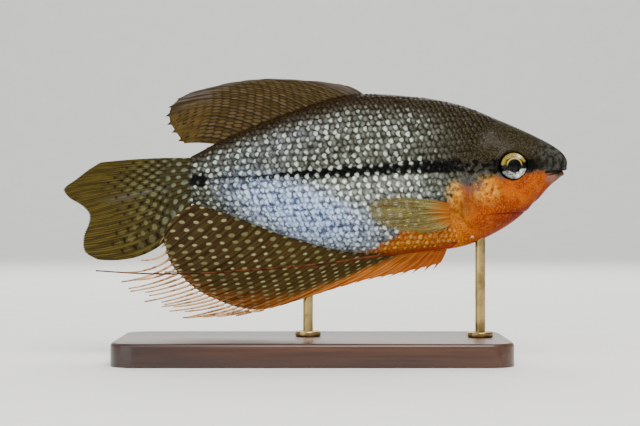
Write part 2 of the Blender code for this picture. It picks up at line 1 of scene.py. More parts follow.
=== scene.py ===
"""The looks of a male pearl gourami on its display stand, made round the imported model.

The fish is shaped in millimetres in its own terms, as its solids are: how far behind the snout, how far
above the line through its middle, and how far out to its left. Function place turns those into metres.
"""

import math
import random

import bpy
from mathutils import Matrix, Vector


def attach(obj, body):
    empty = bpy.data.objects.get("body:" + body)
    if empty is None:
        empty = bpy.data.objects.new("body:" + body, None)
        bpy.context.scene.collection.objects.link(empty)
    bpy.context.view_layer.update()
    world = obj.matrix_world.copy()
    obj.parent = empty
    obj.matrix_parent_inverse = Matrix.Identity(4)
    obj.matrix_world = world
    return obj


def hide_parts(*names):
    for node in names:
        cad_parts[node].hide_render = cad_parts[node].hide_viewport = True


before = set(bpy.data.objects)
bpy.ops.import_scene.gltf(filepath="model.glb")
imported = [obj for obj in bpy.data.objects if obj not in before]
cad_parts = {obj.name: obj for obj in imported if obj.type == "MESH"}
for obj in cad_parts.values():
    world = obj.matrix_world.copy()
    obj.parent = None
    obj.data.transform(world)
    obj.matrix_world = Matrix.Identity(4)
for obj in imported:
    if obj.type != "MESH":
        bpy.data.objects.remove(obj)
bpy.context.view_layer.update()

MM = 0.001

# The fish in the frame: the snout's place and the height of the line through the middle
SNOUT_X = 0.055
DATUM_HEIGHT = 0.040
TOTAL_LENGTH = 110.0
BODY_LENGTH = 81.5

# The tail swings gently to the fish's left
BEND_START = 40.0
BEND_AT_TIP = 6.0

# Stations of the body: behind the snout, back, belly and half width
STATIONS = (
    (0.0, 2.6, 2.6, 0.0),
    (0.4, 3.9, 1.3, 0.95),
    (1.3, 5.0, -0.2, 1.6),
    (3.9, 6.8, -2.5, 2.6),
    (8.0, 8.9, -7.0, 3.9),
    (14.5, 11.8, -11.9, 5.1),
    (23.0, 15.2, -15.55, 6.1),
    (32.0, 16.9, -16.6, 6.5),
    (47.0, 17.4, -16.75, 6.2),
    (60.0, 13.7, -13.6, 4.9),
    (73.0, 8.5, -8.9, 3.1),
    (81.5, 4.1, -6.2, 1.4),
)
BACK, BELLY, HALF_WIDTH = 1, 2, 3
WIDEST_AT_SNOUT = 2.55
WIDEST_FALL = 0.051
BACK_KEEL = 1.1
THROAT_KEEL = 1.0
TAIL_KEEL = 1.3

# The dark stripe along the flank: how far behind, its middle and its half width
STRIPE = (
    (0.0, 2.3, 1.1), (5.8, 2.2, 1.25), (16.6, 1.85, 1.45), (25.3, 1.7, 1.35), (31.8, 1.6, 1.35),
    (40.4, 1.1, 1.15), (49.1, 0.6, 0.95), (57.7, 0.2, 0.7), (64.2, -0.4, 0.5), (70.7, -0.7, 0.4),
    (76.5, -0.95, 0.45), (81.5, -1.1, 0.6),
)

# Scales: their pitch along and across the flank, their own size, how they lie and how far they stray
SCALE_PITCH = 1.08
SCALE_ROW = 1.34
SCALE_LENGTH = 2.1
SCALE_HALF_WIDTH = 0.72 * SCALE_ROW
SCALE_THICKNESS = 0.07
SCALE_ARCH = 0.1
SCALE_ROOT_DEPTH = 0.4
SCALE_EDGE_HEIGHT = 0.02
SCALE_STRAY_ACROSS = 0.26
SCALE_STRAY_ALONG = 0.2
SCALE_STRAY_LIFT = 0.03

# A scale's faces across and along, and the points of its upper and lower sheet together
SCALE_COLUMNS = 5
SCALE_ROWS = 3
SCALE_POINTS = (SCALE_COLUMNS + 1) * (SCALE_ROWS + 1) * 2

# The coat: where its first and last scales root, its gap at back and belly, and the skin's depth under it
COAT_FRONT = 10.0
COAT_REAR = BODY_LENGTH - 0.4
COAT_EDGE_GAP = 0.5
COAT_DEPTH = 0.34

# Eyes: where the middle of each is, how far they turn forward, and the sizes of what they are made of
EYE_BEHIND = 12.2
EYE_ABOVE = 1.85
EYE_OUT = 3.65
EYE_TURN = math.radians(9.0)
PUPIL_RADIUS = 1.45
EYEBALL_RADIUS = 3.08
EYEBALL_DEPTH = 1.75
CORNEA_RADIUS = 2.75
CORNEA_DEPTH = 0.9
CORNEA_OUT = 1.05
SOCKET_RADIUS = 3.25
SOCKET_FLOOR = 2.5
SOCKET_DEPTH = 2.4
SOCKET_RIM = 3.5

# The skin's rings from snout to tail, closer together at the snout, and its spokes round the body
SKIN_RINGS = 350
SKIN_SPOKES = 256
RING_CROWDING = 1.4

random.seed(11)


def bend(behind):
    past = max(0.0, behind - BEND_START) / (TOTAL_LENGTH - BEND_START)
    return BEND_AT_TIP * past * past


def place(behind, above, side=0.0):
    """The world point of a place on the fish in millimetres. The fish's left is positive."""
    across = (side + bend(behind)) * MM
    return Vector((SNOUT_X - behind * MM, across, DATUM_HEIGHT + above * MM))


def between(ends, share):
    return ends[0] + (ends[1] - ends[0]) * share


def ease(low, high, value):
    """0 below low, 1 above high and a smooth rise between them."""
    share = min(max((value - low) / (high - low), 0.0), 1.0)
    return share * share * (3 - 2 * share)


def hump(distance, width):
    """1 at no distance and falling off on both sides."""
    return math.exp(-((distance / width) ** 2))


def turned(back, up, lean):
    """Two distances, back and up, as they are on axes that lean: the one back turns upwards."""
    return back * math.cos(lean) + up * math.sin(lean), up * math.cos(lean) - back * math.sin(lean)


def station(column, behind):
    """A size of the body on a smooth curve through the stations."""
    roots = [math.sqrt(row[0]) for row in STATIONS]
    sizes = [row[column] for row in STATIONS]
    at = math.sqrt(min(max(behind, 0.0), BODY_LENGTH))
    i = max(k for k in range(len(roots) - 1) if roots[k] <= at or k == 0)

    def slope(k):
        low, high = max(k - 1, 0), min(k + 1, len(roots) - 1)
        return (sizes[high] - sizes[low]) / (roots[high] - roots[low])

    span = roots[i + 1] - roots[i]
    t = (at - roots[i]) / span
    return (
        sizes[i] * (1 + 2 * t) * (1 - t) ** 2
        + sizes[i + 1] * t * t * (3 - 2 * t)
        + slope(i) * span * t * (1 - t) ** 2
        - slope(i + 1) * span * t * t * (1 - t)
    )


def along_list(points, column, at):
    """A value read straight between the rows of a list that starts with a distance."""
    for low, high in zip(points, points[1:]):
        if at <= high[0]:
            share = max(0.0, (at - low[0]) / (high[0] - low[0]))
            return between((low[column], high[column]), share)
    return points[-1][column]


def widest(behind):
    return WIDEST_AT_SNOUT - WIDEST_FALL * behind


def belly_keel(behind):
    return between((THROAT_KEEL, TAIL_KEEL), min(1.0, behind / BODY_LENGTH))


def half_width(behind, above):
    """How far out the flank is at a place on the body, or 0 past its outline."""
    middle = widest(behind)
    if above > middle:
        reach, keel = station(BACK, behind) - middle, BACK_KEEL
    else:
        reach, keel = middle - station(BELLY, behind), belly_keel(behind)
    share = abs(above - middle) / max(reach, 1e-6)
    return station(HALF_WIDTH, behind) * max(0.0, 1 - share * share) ** (keel / 2)


def smooth(points, t):
    """A point on a smooth curve through the points, with t from 0 to 1."""
    count = len(points) - 1
    at = min(max(t, 0.0), 1.0) * count
    i = min(int(at), count - 1)
    f = at - i
    before, start, end, after = (points[min(max(k, 0), count)] for k in range(i - 1, i + 3))
    return tuple(
        0.5
        * (
            2 * b
            + (c - a) * f
            + (2 * a - 5 * b + 4 * c - d) * f * f
            + (3 * b - a - 3 * c + d) * f ** 3
        )
        for a, b, c, d in zip(before, start, end, after)
    )


# Materials

# How bright the light is on a surface that faces the camera, what gloss adds to every colour there, and
# where the film starts to hold back
LIGHT = 1.7
GLOSS = 0.012
FILM_SHOULDER = 0.56
WHITEST = 0.95
NOISE_ROUGHNESS = 0.55


def srgb(red, green, blue):
    """The linear colour that a surface needs to be seen as a screen colour, 0 to 255, in this light."""
    def linear(value):
        value /= 255
        return value / 12.92 if value <= 0.04045 else ((value + 0.055) / 1.055) ** 2.4

    seen = [linear(value) for value in (red, green, blue)]
    gain = 1 + (sum(seen) / 3 / FILM_SHOULDER) ** 4
    base = [max(value * gain - GLOSS, 0.0) / LIGHT for value in seen]
    most = max(*base, WHITEST)
    return (*(value * WHITEST / most for value in base), 1.0)


class Wire:
    """A number that comes out of a node, with the operators that add Math nodes."""

    def __init__(self, paint, socket):
        self.paint, self.socket = paint, socket

    def math(self, operation, *others):
        sockets = dict(enumerate((self, *others)))
        return self.paint.node("ShaderNodeMath", {"operation": operation}, sockets)

    def __add__(self, other):
        return self.math("ADD", other)

    def __sub__(self, other):
        return self.math("SUBTRACT", other)

    def __mul__(self, other):
        return self.math("MULTIPLY", other)

    def __truediv__(self, other):
        return self.math("DIVIDE", other)

    def __pow__(self, other):
        return self.math("POWER", other)

    def __rsub__(self, other):
        return self * -1 + other

    __radd__ = __add__
    __rmul__ = __mul__

    def above(self, low, high):
        """0 below low, 1 above high and a smooth rise between them."""
        settings = {"interpolation_type": "SMOOTHSTEP", "clamp": True}
        return self.paint.node("ShaderNodeMapRange", settings, {0: self, 1: low, 2: high})

    def below(self, low, high):
        return 1 - self.above(low, high)

    def size(self):
        return self.math("ABSOLUTE")

    def floor(self):
        return self.math("FLOOR")

    def part(self):
        """What is left past the whole number below."""
        return self.math("FRACT")

    def most(self, other):
        return self.math("MAXIMUM", other)

    def hump(self, width):
        """1 at 0 and falling off on both sides over the width."""
        return (self.size() / width).below(0.0, 1.0)

    def apart(self, other):
        """How far from 0 a place is, by its two distances."""
        return (self ** 2.0 + other ** 2.0).math("SQRT")


class Paint:
    """A material's nodes, and the one way to add another."""

    def __init__(self, name):
        self.material = bpy.data.materials.new(name)
        self.material.use_nodes = True
        self.tree = self.material.node_tree
        self.shader = self.tree.nodes["Principled BSDF"]

    def node(self, kind, settings=None, sockets=None, output=0):
        made = self.tree.nodes.new(kind)
        for key, value in (settings or {}).items():
            if key == "stops":
                self.set_stops(made.color_ramp, value)
            else:
                setattr(made, key, value)
        for key, value in (sockets or {}).items():
            self.feed(made.inputs[key], value)
        return Wire(self, made.outputs[output])

    def feed(self, socket, value):
        if isinstance(value, Wire):
            self.tree.links.new(value.socket, socket)
        else:
            socket.default_value = value

    @staticmethod
    def set_stops(ramp, stops):
        while len(ramp.elements) < len(stops):
            ramp.elements.new(1.0)
        for element, (position, colour) in zip(ramp.elements, stops):
            element.position = position
            element.color = colour

    def set(self, **values):
        """Sets or links the shader's sockets: Base_Color=..., Roughness=..."""
        for key, value in values.items():
            self.feed(self.shader.inputs[key.replace("_", " ")], value)
        return self.material

    def object_place(self):
        return self.node("ShaderNodeTexCoord", output="Object")

    def split(self, vector):
        """The three numbers of a vector."""
        made = self.node("ShaderNodeSeparateXYZ", None, {0: vector})
        return [Wire(self, socket) for socket in made.socket.node.outputs]

    def join(self, x, y, z=0.0):
        return self.node("ShaderNodeCombineXYZ", None, {0: x, 1: y, 2: z})

    def uv(self, name):
        return self.split(self.node("ShaderNodeUVMap", {"uv_map": name}))[:2]

    def noise(self, where, scale, detail=3.0):
        sockets = {"Vector": where, "Scale": scale, "Detail": detail, "Roughness": NOISE_ROUGHNESS}
        return self.node("ShaderNodeTexNoise", None, sockets)

    def random(self, x, y):
        """A number from 0 to 1 that differs from cell to cell."""
        return self.node("ShaderNodeTexWhiteNoise", {"noise_dimensions": "2D"}, {"Vector": self.join(x, y)})

    def specks(self, where, scale, share, size=0.34):
        """1 on small round grains that fill a share of the cells of a ragged pattern."""
        kind = "ShaderNodeTexVoronoi"
        far = self.node(kind, None, {"Vector": where, "Scale": scale})
        tint = self.node(kind, None, {"Vector": where, "Scale": scale}, output=1)
        chosen = self.split(tint)[0].above(1 - share - 0.05, 1 - share + 0.05)
        return far.below(size * 0.6, size * 1.3) * chosen

    def spot(self, behind, above, centre, reach, ragged):
        """A soft ragged oval: 1 inside and 0 outside."""
        far = ((behind - centre[0]) / reach[0]).apart((above - centre[1]) / reach[1])
        return (far + (ragged - 0.5) * 0.8).below(0.4, 1.15)

    def mix(self, factor, first, second):
        """A mix of two colours, each from a node or as a screen colour, 0 to 255."""
        first, second = (end if isinstance(end, Wire) else srgb(*end) for end in (first, second))
        settings = {"data_type": "RGBA", "clamp_factor": True}
        return self.node("ShaderNodeMix", settings, {0: factor, 6: first, 7: second}, output=2)

    def layers(self, ground, *coats):
        """A ground colour with coats over it, each a mask and a colour."""
        for mask, colour in coats:
            ground = self.mix(mask, ground, colour)
        return ground

    def curve(self, wire, points, column=1):
        """A number read off a list of points, straight between them."""
        first, last = points[0][0], points[-1][0]
        values = [row[column] for row in points]
        low, high = min(values), max(values)
        stops = []
        for row in points:
            grey = (row[column] - low) / (high - low)
            stops.append(((row[0] - first) / (last - first), (grey, grey, grey, 1.0)))
        share = (wire - first) / (last - first)
        return self.node("ShaderNodeValToRGB", {"stops": stops}, {0: share}) * (high - low) + low

    def bump(self, height, strength, distance):
        sockets = {"Strength": strength, "Distance": distance, "Height": height}
        return self.node("ShaderNodeBump", None, sockets)


# Line between the orange of throat and breast and the flank above it: behind and above
ORANGE_EDGE = (
    (0.0, -0.2), (4.8, -0.1), (6.2, 0.7), (9.0, 0.6), (14.5, -1.1), (16.4, -0.4), (18.0, -1.4),
    (21.0, -1.9), (24.2, -2.7), (25.3, -4.8), (26.8, -8.6), (30.7, -10.4), (36.1, -12.4),
    (39.5, -14.7), (43.0, -16.6), (60.0, -20.0),
)
# The silvery patches, each by its middle, its reach along and up, and its lean
BLUE_PATCH = ((57.0, -8.2), (20.5, 7.4), 0.33)
SHEEN_PATCH = ((64.0, 5.2), (17.0, 5.6), -0.4)
# The dark spot on the tail root
BLOTCH_CENTRE = (79.6, -1.2)
BLOTCH_REACH = (2.2, 1.6)


def in_patch(behind, above, patch):
    """A place as shares of a patch's reach, along it and up it from its middle."""
    centre, reach, lean = patch
    along, up = turned(behind - centre[0], above - centre[1], lean)
    return along / reach[0], up / reach[1]


def body_marks(paint):
    """The markings that the skin and its scales share: the ground colour and the masks over it."""
    where = paint.object_place()
    x, _, z = paint.split(where)
    _, girth = paint.uv("BodyMap")
    behind = (SNOUT_X - x) * 1000
    above = (z - DATUM_HEIGHT) * 1000
    height = girth * 2 - 1
    broad = paint.noise(where, 260.0, 2.0)
    grain = paint.noise(where, 900.0, 4.0)
    dust = paint.noise(where, 3200.0, 2.0)
    wander = (broad - 0.5) * 2
    mottle = grain.above(0.4, 0.62)
    speckle = dust.above(0.4, 0.65)

    def spot(centre, reach):
        return paint.spot(behind, above, centre, reach, grain)

    stripe_middle = paint.curve(behind, STRIPE, 1)
    stripe_half = paint.curve(behind, STRIPE, 2)
    from_stripe = above - stripe_middle

    # Grey green flank, paler below the stripe, with a dark back and a plain brown head
    flank = paint.mix(mottle, (60, 58, 44), (108, 110, 98))
    pale = paint.mix(mottle, (110, 112, 102), (164, 171, 160))
    pale_mask = (from_stripe + wander).below(-2.5, -0.5) * behind.above(24.0, 36.0)
    pale_mask = pale_mask * behind.below(62.0, 76.0)
    back = paint.mix(speckle, (46, 34, 17), (74, 62, 42))
    head = paint.mix(speckle, (50, 42, 28), (84, 78, 60))
    back_mask = (height + wander * 0.12).above(0.55, 0.95)
    head_mask = (behind + wander * 3 - back_mask * 8).below(21.0, 34.0) * above.above(-3.0, 4.0)
    snout_mask = (behind + wander).below(3.0, 9.0) * above.above(-1.0, 1.0)

    # Silvery blue patch below the stripe, and a greyer sheen above it
    blue_mask, sheen_mask = (
        (along.apart(up) + wander * 0.12).below(0.25, 1.15)
        for along, up in (in_patch(behind, above, patch) for patch in (BLUE_PATCH, SHEEN_PATCH))
    )

    # Orange throat and breast, darker along the throat's lower edge, with gold specks on the gill cover,
    # painted light on the breast's underside and painted shade in the crease under the throat
    edge = paint.curve(behind, ORANGE_EDGE)
    depth = edge - above + wander * 1.3 + (grain - 0.5) * 3.0
    orange_mask = depth.above(-0.7, 1.0)
    orange = paint.mix(speckle, (152, 62, 4), (206, 98, 4))
    orange = paint.mix(broad.above(0.42, 0.7) * 0.6, orange, (222, 116, 8))
    olive_mask = spot((25.4, -8.6), (4.6, 4.8))
    orange = paint.mix(olive_mask * 0.6, orange, paint.mix(mottle, (132, 88, 28), (208, 150, 60)))
    grit = paint.specks(where, 2600.0, 0.3)
    gold_grit = paint.specks(where, 1900.0, 0.62, 0.4)
    # Painted light: the breast's underside faces down into shade, so it is laid on in a lighter orange
    underside_light_mask = (height + wander * 0.1).below(-0.85, -0.45) * behind.above(19.0, 25.0)
    red_mask = (height + wander * 0.1).below(-0.97, -0.6) * behind.below(12.0, 22.0)
    gold_mask = spot((17.9, -3.4), (4.0, 3.6)).most(spot((24.7, -3.9), (2.4, 3.0)))
    gold_mask = gold_mask * (grain.above(0.36, 0.66) * 0.7 + gold_grit * 0.3)
    shade_mask = spot((21.6, -5.6), (2.8, 4.2)) * grain.above(0.35, 0.6)
    blush_mask = spot((21.0, -2.2), (3.4, 2.2)) * dust.above(0.42, 0.56)
    glint_mask = spot((20.7, -13.3), (0.42, 0.3))
    # Painted shade: a thin dark red line along the crease under the throat
    throat_crease_shade = (above + 8.0 + (behind - 9.0).most(0.0) * 0.06).hump(0.35)
    throat_crease_shade = throat_crease_shade * behind.above(8.6, 10.0) * behind.below(15.0, 20.0)

    stripe_far = from_stripe.size() / stripe_half + (grain - 0.5) * 1.1 + (dust - 0.5) * 0.5
    stripe_mask = stripe_far.below(0.75, 1.25) * (1 - behind.above(60.0, 72.0) * 0.4)
    broken = (behind - 20.5).hump(7.0) * grain.above(0.46, 0.54)
    stripe_mask = stripe_mask * (1 - broken * 0.85) * (1 - behind.below(3.0, 9.0) * 0.8)
    stripe_core = (from_stripe.size() / stripe_half).below(0.35, 0.75) * behind.below(48.0, 62.0)
    blotch_along = (behind - BLOTCH_CENTRE[0]) / BLOTCH_REACH[0]
    blotch_far = blotch_along.apart((above - BLOTCH_CENTRE[1]) / BLOTCH_REACH[1])
    dark_mask = stripe_mask.most((blotch_far + (grain - 0.5) * 0.5).below(0.75, 1.15))

    ground = paint.layers(
        flank,
        (pale_mask, pale),
        (sheen_mask * 0.6, paint.mix(mottle, (84, 85, 90), (130, 134, 144))),
        (blue_mask, paint.mix(mottle, (110, 124, 160), (170, 190, 228))),
        (back_mask, back),
        (head_mask, head),
        (snout_mask, paint.mix(mottle, (50, 49, 42), (92, 90, 84))),
        (orange_mask, orange),
        (orange_mask * underside_light_mask, paint.mix(speckle, (206, 104, 10), (240, 150, 40))),
        (orange_mask * red_mask * 0.8, (124, 34, 0)),
        (shade_mask * 0.7, (128, 80, 46)),
        (grit * orange_mask * 0.35, (222, 150, 84)),
        (gold_mask, (240, 176, 62)),
        (throat_crease_shade * orange_mask * 0.8, (110, 22, 0)),
        (blush_mask * 0.85, (98, 96, 98)),
        (glint_mask, (220, 178, 156)),
        (dark_mask, (15, 17, 17)),
    )
    return {
        "where": where, "behind": behind, "above": above, "grain": grain, "dust": dust,
        "pale": pale_mask, "blue": blue_mask, "orange": orange_mask, "stripe": dark_mask,
        "back": back_mask.most(head_mask), "core": stripe_core.most(blotch_far.below(0.6, 0.9)),
        "ground": ground,
    }


def skin_finish():
    paint = Paint("moist_skin")
    marks = body_marks(paint)
    where, behind, above = marks["where"], marks["behind"], marks["above"]

    # Flesh colour of the lower lip and jaw side, and painted shade as a dark line in the groove of the gape
    # over it
    lip_mask = paint.spot(behind, above, (3.7, -0.7), (1.6, 1.3), marks["grain"])
    # Painted shade along the groove of the gape
    gape_far = (above - 0.95 + behind * 0.07).size()
    gape_shade_mask = gape_far.below(0.12, 0.4) * behind.below(4.6, 5.8)
    colour = paint.layers(
        marks["ground"],
        (lip_mask * 0.85, (158, 112, 98)),
        (gape_shade_mask, (36, 22, 22)),
    )
    cells = paint.node("ShaderNodeTexVoronoi", None, {"Vector": where, "Scale": 1500.0})
    height = cells * 0.5 + marks["dust"] * 0.5
    return paint.set(
        Base_Color=colour,
        Roughness=0.3 + marks["grain"] * 0.2,
        Normal=paint.bump(height, 0.35, 0.00012),
        Specular_IOR_Level=0.06,
        Coat_Weight=0.05,
        Coat_Roughness=0.05,
    )


def scale_finish():
    """A scale: dark at its rim, with a pearl where it shows between its neighbours."""
    paint = Paint("pearled_scale")
    marks = body_marks(paint)
    across, along = paint.uv("ScaleMap")
    chance = paint.node("ShaderNodeAttribute", {"attribute_name": "scale_chance"}, output=2)
    amount = paint.node("ShaderNodeAttribute", {"attribute_name": "scale_pearl"}, output=2)
    ragged = paint.noise(marks["where"], 2600.0, 2.0) - 0.5

    # The pearl sits in the middle of the part that shows
    shift = (chance * 7.13).part() - 0.5
    far_across = (across - 0.5 + shift * 0.2) / 0.4
    far_along = (along - 0.7 + (chance - 0.5) * 0.16) / 0.3
    far = far_across.apart(far_along) + ragged * 1.2 + shift * 0.25
    pearl_mask = (far + (1 - amount) * 1.1).below(0.35, 1.2) * (1 - marks["core"] * 0.9)
    plain_mask = far.below(0.2, 1.0) * 0.16 * (1 - marks["stripe"]) * (1 - marks["back"])
    glow = (amount + (chance * 3.7).part() * 0.4).above(0.5, 1.2)
    pearl = paint.layers(
        paint.mix(glow, (132, 142, 126), (186, 198, 184)),
        (marks["pale"], (206, 216, 206)),
        (marks["blue"], (196, 222, 255)),
        (marks["orange"], (232, 184, 84)),
        (marks["back"], (112, 110, 88)),
    )
    rim = along.above(0.86, 1.0).most((across - 0.5).size().above(0.34, 0.5) * 0.7)
    colour = paint.layers(
        marks["ground"],
        (plain_mask, paint.mix(0.5, marks["ground"], (200, 204, 196))),
        (rim * 0.34 * (1 - marks["orange"] * 0.5), (40, 36, 28)),
        (pearl_mask, pearl),
    )
    return paint.set(
        Base_Color=colour,
        Roughness=0.36 - pearl_mask * 0.08,
        Normal=paint.bump(paint.noise(marks["where"], 3000.0, 2.0), 0.25, 0.0001),
        Specular_IOR_Level=0.08,
        Coat_Weight=0.05,
        Coat_Roughness=0.05,
    )


def fin_places(paint, pitch, span=1.0, split=None):
    """Where a point of a fin lies: how far out, from which ray, and in which of the spots' cells.

    RayMap counts the rays across and measures the way out in millimetres, both over 100. FinMap runs
    from the front ray to the last and from the base to the margin."""
    number, distance = paint.uv("RayMap")
    share, out = paint.uv("FinMap")
    number = number * 100
    distance = distance * 100
    where = paint.object_place()
    wander = paint.noise(where, 300.0, 2.0) - 0.5
    lane = number / span + 0.5
    cell = lane.floor()
    row = distance / pitch + cell * 0.5 + wander * 0.35
    from_ray = (number.part() - 0.5).size()
    if split:
        from_ray = (from_ray - out.above(split[0], split[1]) * 0.25).size()
        from_ray = (from_ray - out.above(split[2], split[3]) * 0.125).size()
    return {
        "share": share, "out": out, "wander": wander,
        "grain": paint.noise(where, 1400.0, 3.0) - 0.5,
        "side": lane.part() - 0.5, "row": row, "chance": paint.random(cell, row.floor()) - 0.5,
        "ray": from_ray.below(0.03, 0.13),
        "fine": paint.noise(paint.join(number * 3.0, distance * 0.12), 1.0, 2.0),
    }


def fin_spot(at, wide, long, later=0.0, flare=0.0, vary=0.5):
    """1 on a fin's spots. Wide and long are shares of a cell at the base; flare narrows the spots
    within their cells as the rays spread, later shifts them along the rays and vary makes them differ."""
    end = (at["row"] + later).part() - 0.5
    side = at["side"] * (1 + at["out"] * flare) / wide
    return (side.apart(end / long) + at["grain"] * 0.6 + at["chance"] * vary).below(0.7, 1.25)


def fin_surface(paint, at, colour, alpha=1.0):
    return paint.set(
        Base_Color=colour,
        Roughness=0.45,
        Alpha=alpha,
        Normal=paint.bump(at["grain"] * 0.5 + at["ray"], 0.3, 0.0001),
        Specular_IOR_Level=0.1,
    )


def dorsal_finish():
    """A dark net over olive, streaked with grey lilac along the top and amber at the rear."""
    paint = Paint("dorsal_membrane")
    at = fin_places(paint, 1.8, 1 / 3)
    out, share, fine = at["out"], at["share"], at["fine"]
    cells = fin_spot(at, 0.45, 0.43, vary=0.1)
    net = paint.mix(fine.above(0.4, 0.6) * 0.4, (62, 47, 22), (46, 34, 15))
    tan = paint.mix(at["chance"].above(-0.4, 0.4), (84, 69, 38), (104, 88, 58))
    streaks = paint.mix(fine.above(0.38, 0.6), (72, 60, 46), (130, 120, 112))
    rear_mask = share.above(0.66, 0.88) * out.above(0.45, 0.75)
    amber = paint.mix(at["wander"].above(-0.2, 0.2), (88, 68, 26), (112, 88, 40))
    dashes = fin_spot(at, 0.3, 0.26, 0.5) * at["chance"].above(-0.1, 0.0)
    dashes = dashes * share.above(0.7, 0.82) * out.above(0.5, 0.7)
    colour = paint.layers(
        net,
        (cells * out.below(0.72, 1.0), tan),
        ((out + at["wander"] * 0.3).above(0.55, 0.9) * share.below(0.6, 0.85), streaks),
        (share.below(0.06, 0.34) * 0.8, streaks),
        (rear_mask, amber),
        (at["ray"] * (1 - rear_mask * 0.6) * 0.55, (44, 33, 16)),
        (dashes * 0.9, (34, 20, 10)),
    )
    return fin_surface(paint, at, colour, 1 - rear_mask * 0.1 * (1 - at["ray"]))


# Where the anal fin's orange begins: the share across it and the share out to its margin
ANAL_FLAME = ((0.0, -0.4), (0.17, -0.2), (0.26, 0.14), (0.36, 0.45), (0.5, 0.68), (0.7, 0.9), (1.0, 1.1))


def anal_finish():
    """Olive brown with pale green spots, orange in front and along the lower margin."""
    paint = Paint("anal_membrane")
    at = fin_places(paint, 2.75)
    out, share, fine = at["out"], at["share"], at["fine"]
    ground = paint.mix(share.above(0.5, 1.0), (74, 58, 28), (58, 44, 16))
    ground = paint.mix(fine.above(0.36, 0.62) * 0.5, ground, (106, 88, 52))
    spots = fin_spot(at, 0.26, 0.16) * share.above(0.12, 0.34)
    pale = paint.mix(at["chance"].above(-0.4, 0.4), (126, 122, 78), (172, 170, 122))
    glow = paint.curve(share, ANAL_FLAME) + at["wander"] * 0.3
    flame_mask = (out - glow).above(-0.15, 0.2)
    flame = paint.mix(fine.above(0.34, 0.56), (170, 88, 20), (222, 134, 58))
    rear = paint.mix(fine.above(0.36, 0.58), (86, 50, 10), (146, 92, 42))
    flame = paint.mix(share.below(0.04, 0.2) * 0.5, flame, (186, 78, 18))
    flame = paint.mix(share.above(0.22, 0.5), flame, rear)
    tips = at["ray"] * out.above(0.9, 1.0) * share.above(0.3, 0.45)
    colour = paint.layers(
        ground,
        (at["ray"] * 0.5, (50, 36, 14)),
        (flame_mask, flame),
        (at["ray"] * flame_mask * 0.3, (140, 60, 10)),
        (spots * (1 - flame_mask * 0.6), pale),
        (tips * 0.9, (206, 160, 112)),
    )
    return fin_surface(paint, at, colour)


def caudal_finish():
    """Olive with pale green spots near the root, dark ones further out and fine rays to the margin."""
    paint = Paint("caudal_membrane")
    at = fin_places(paint, 2.8, 1.0, (0.15, 0.45, 0.5, 0.8))
    out, share, fine = at["out"], at["share"], at["fine"]
    ground = paint.mix(out.above(0.2, 0.85), (78, 73, 48), (116, 100, 44))
    ground = paint.mix(fine.above(0.42, 0.56) * 0.7, ground, (64, 54, 26))
    reach = out - share * 0.14
    spots = fin_spot(at, 0.46, 0.2, flare=0.4) * (reach + at["wander"] * 0.3).below(0.3, 0.65)
    spots = spots * (1 - share.above(0.84, 0.98) * 0.6) * out.above(0.2, 0.28)
    root_spots = fin_spot(fin_places(paint, 2.5, 2.0), 0.34, 0.28) * out.below(0.16, 0.23)
    pale = paint.mix(out.above(0.05, 0.4), (128, 134, 112), (118, 117, 76))
    dots = fin_spot(at, 0.34, 0.12, 0.5, flare=0.4) * out.above(0.1, 0.25) * reach.below(0.56, 0.76)
    fold = (share - 0.52 + at["wander"] * 0.03).hump(0.07) * out.above(0.12, 0.3) * out.below(0.7, 0.9)
    colour = paint.layers(
        ground,
        (at["ray"] * 0.55, (54, 44, 20)),
        (fold * fine.above(0.42, 0.6), (104, 98, 88)),
        (spots.most(root_spots), pale),
        (dots * 0.85, (34, 27, 14)),
    )
    return fin_surface(paint, at, colour, 1 - out.above(0.6, 1.0) * 0.05 * (1 - at["ray"]))


def pectoral_finish():
    """Clear olive yellow with fine rays, fleshy orange at its root."""
    paint = Paint("pectoral_membrane")
    at = fin_places(paint, 2.0, 1.0, (0.3, 0.6, 0.65, 0.9))
    out = at["out"]
    olive = paint.mix(at["fine"].above(0.4, 0.6), (132, 113, 52), (188, 176, 110))
    colour = paint.layers(
        olive,
        (at["ray"] * 0.8, (112, 94, 46)),
        (out.below(0.04, 0.4), paint.mix(at["fine"].above(0.4, 0.6), (178, 84, 8), (202, 132, 46))),
    )
    between_rays = out.above(0.1, 0.5) * (1 - at["ray"])
    clear = between_rays * (0.66 + out.above(0.6, 1.0) * 0.16) + at["ray"] * out.above(0.7, 1.0) * 0.45
    return fin_surface(paint, at, colour, 1 - clear)


def thread_finish(name, light, dark, root, root_end):
    """Blotched along its length, with its own colour near the root: root_end is behind the snout."""
    paint = Paint(name)
    where = paint.object_place()
    grain = paint.noise(where, 500.0, 2.0)
    behind = (SNOUT_X - paint.split(where)[0]) * 1000
    colour = paint.mix(grain.above(0.42, 0.56), dark, light)
    return paint.set(
        Base_Color=paint.mix(behind.below(root_end - 12.0, root_end + 6.0), colour, root),
        Roughness=0.5,
        Specular_IOR_Level=0.1,
        Normal=paint.bump(paint.noise(where, 3000.0), 0.3, 0.0001),
    )


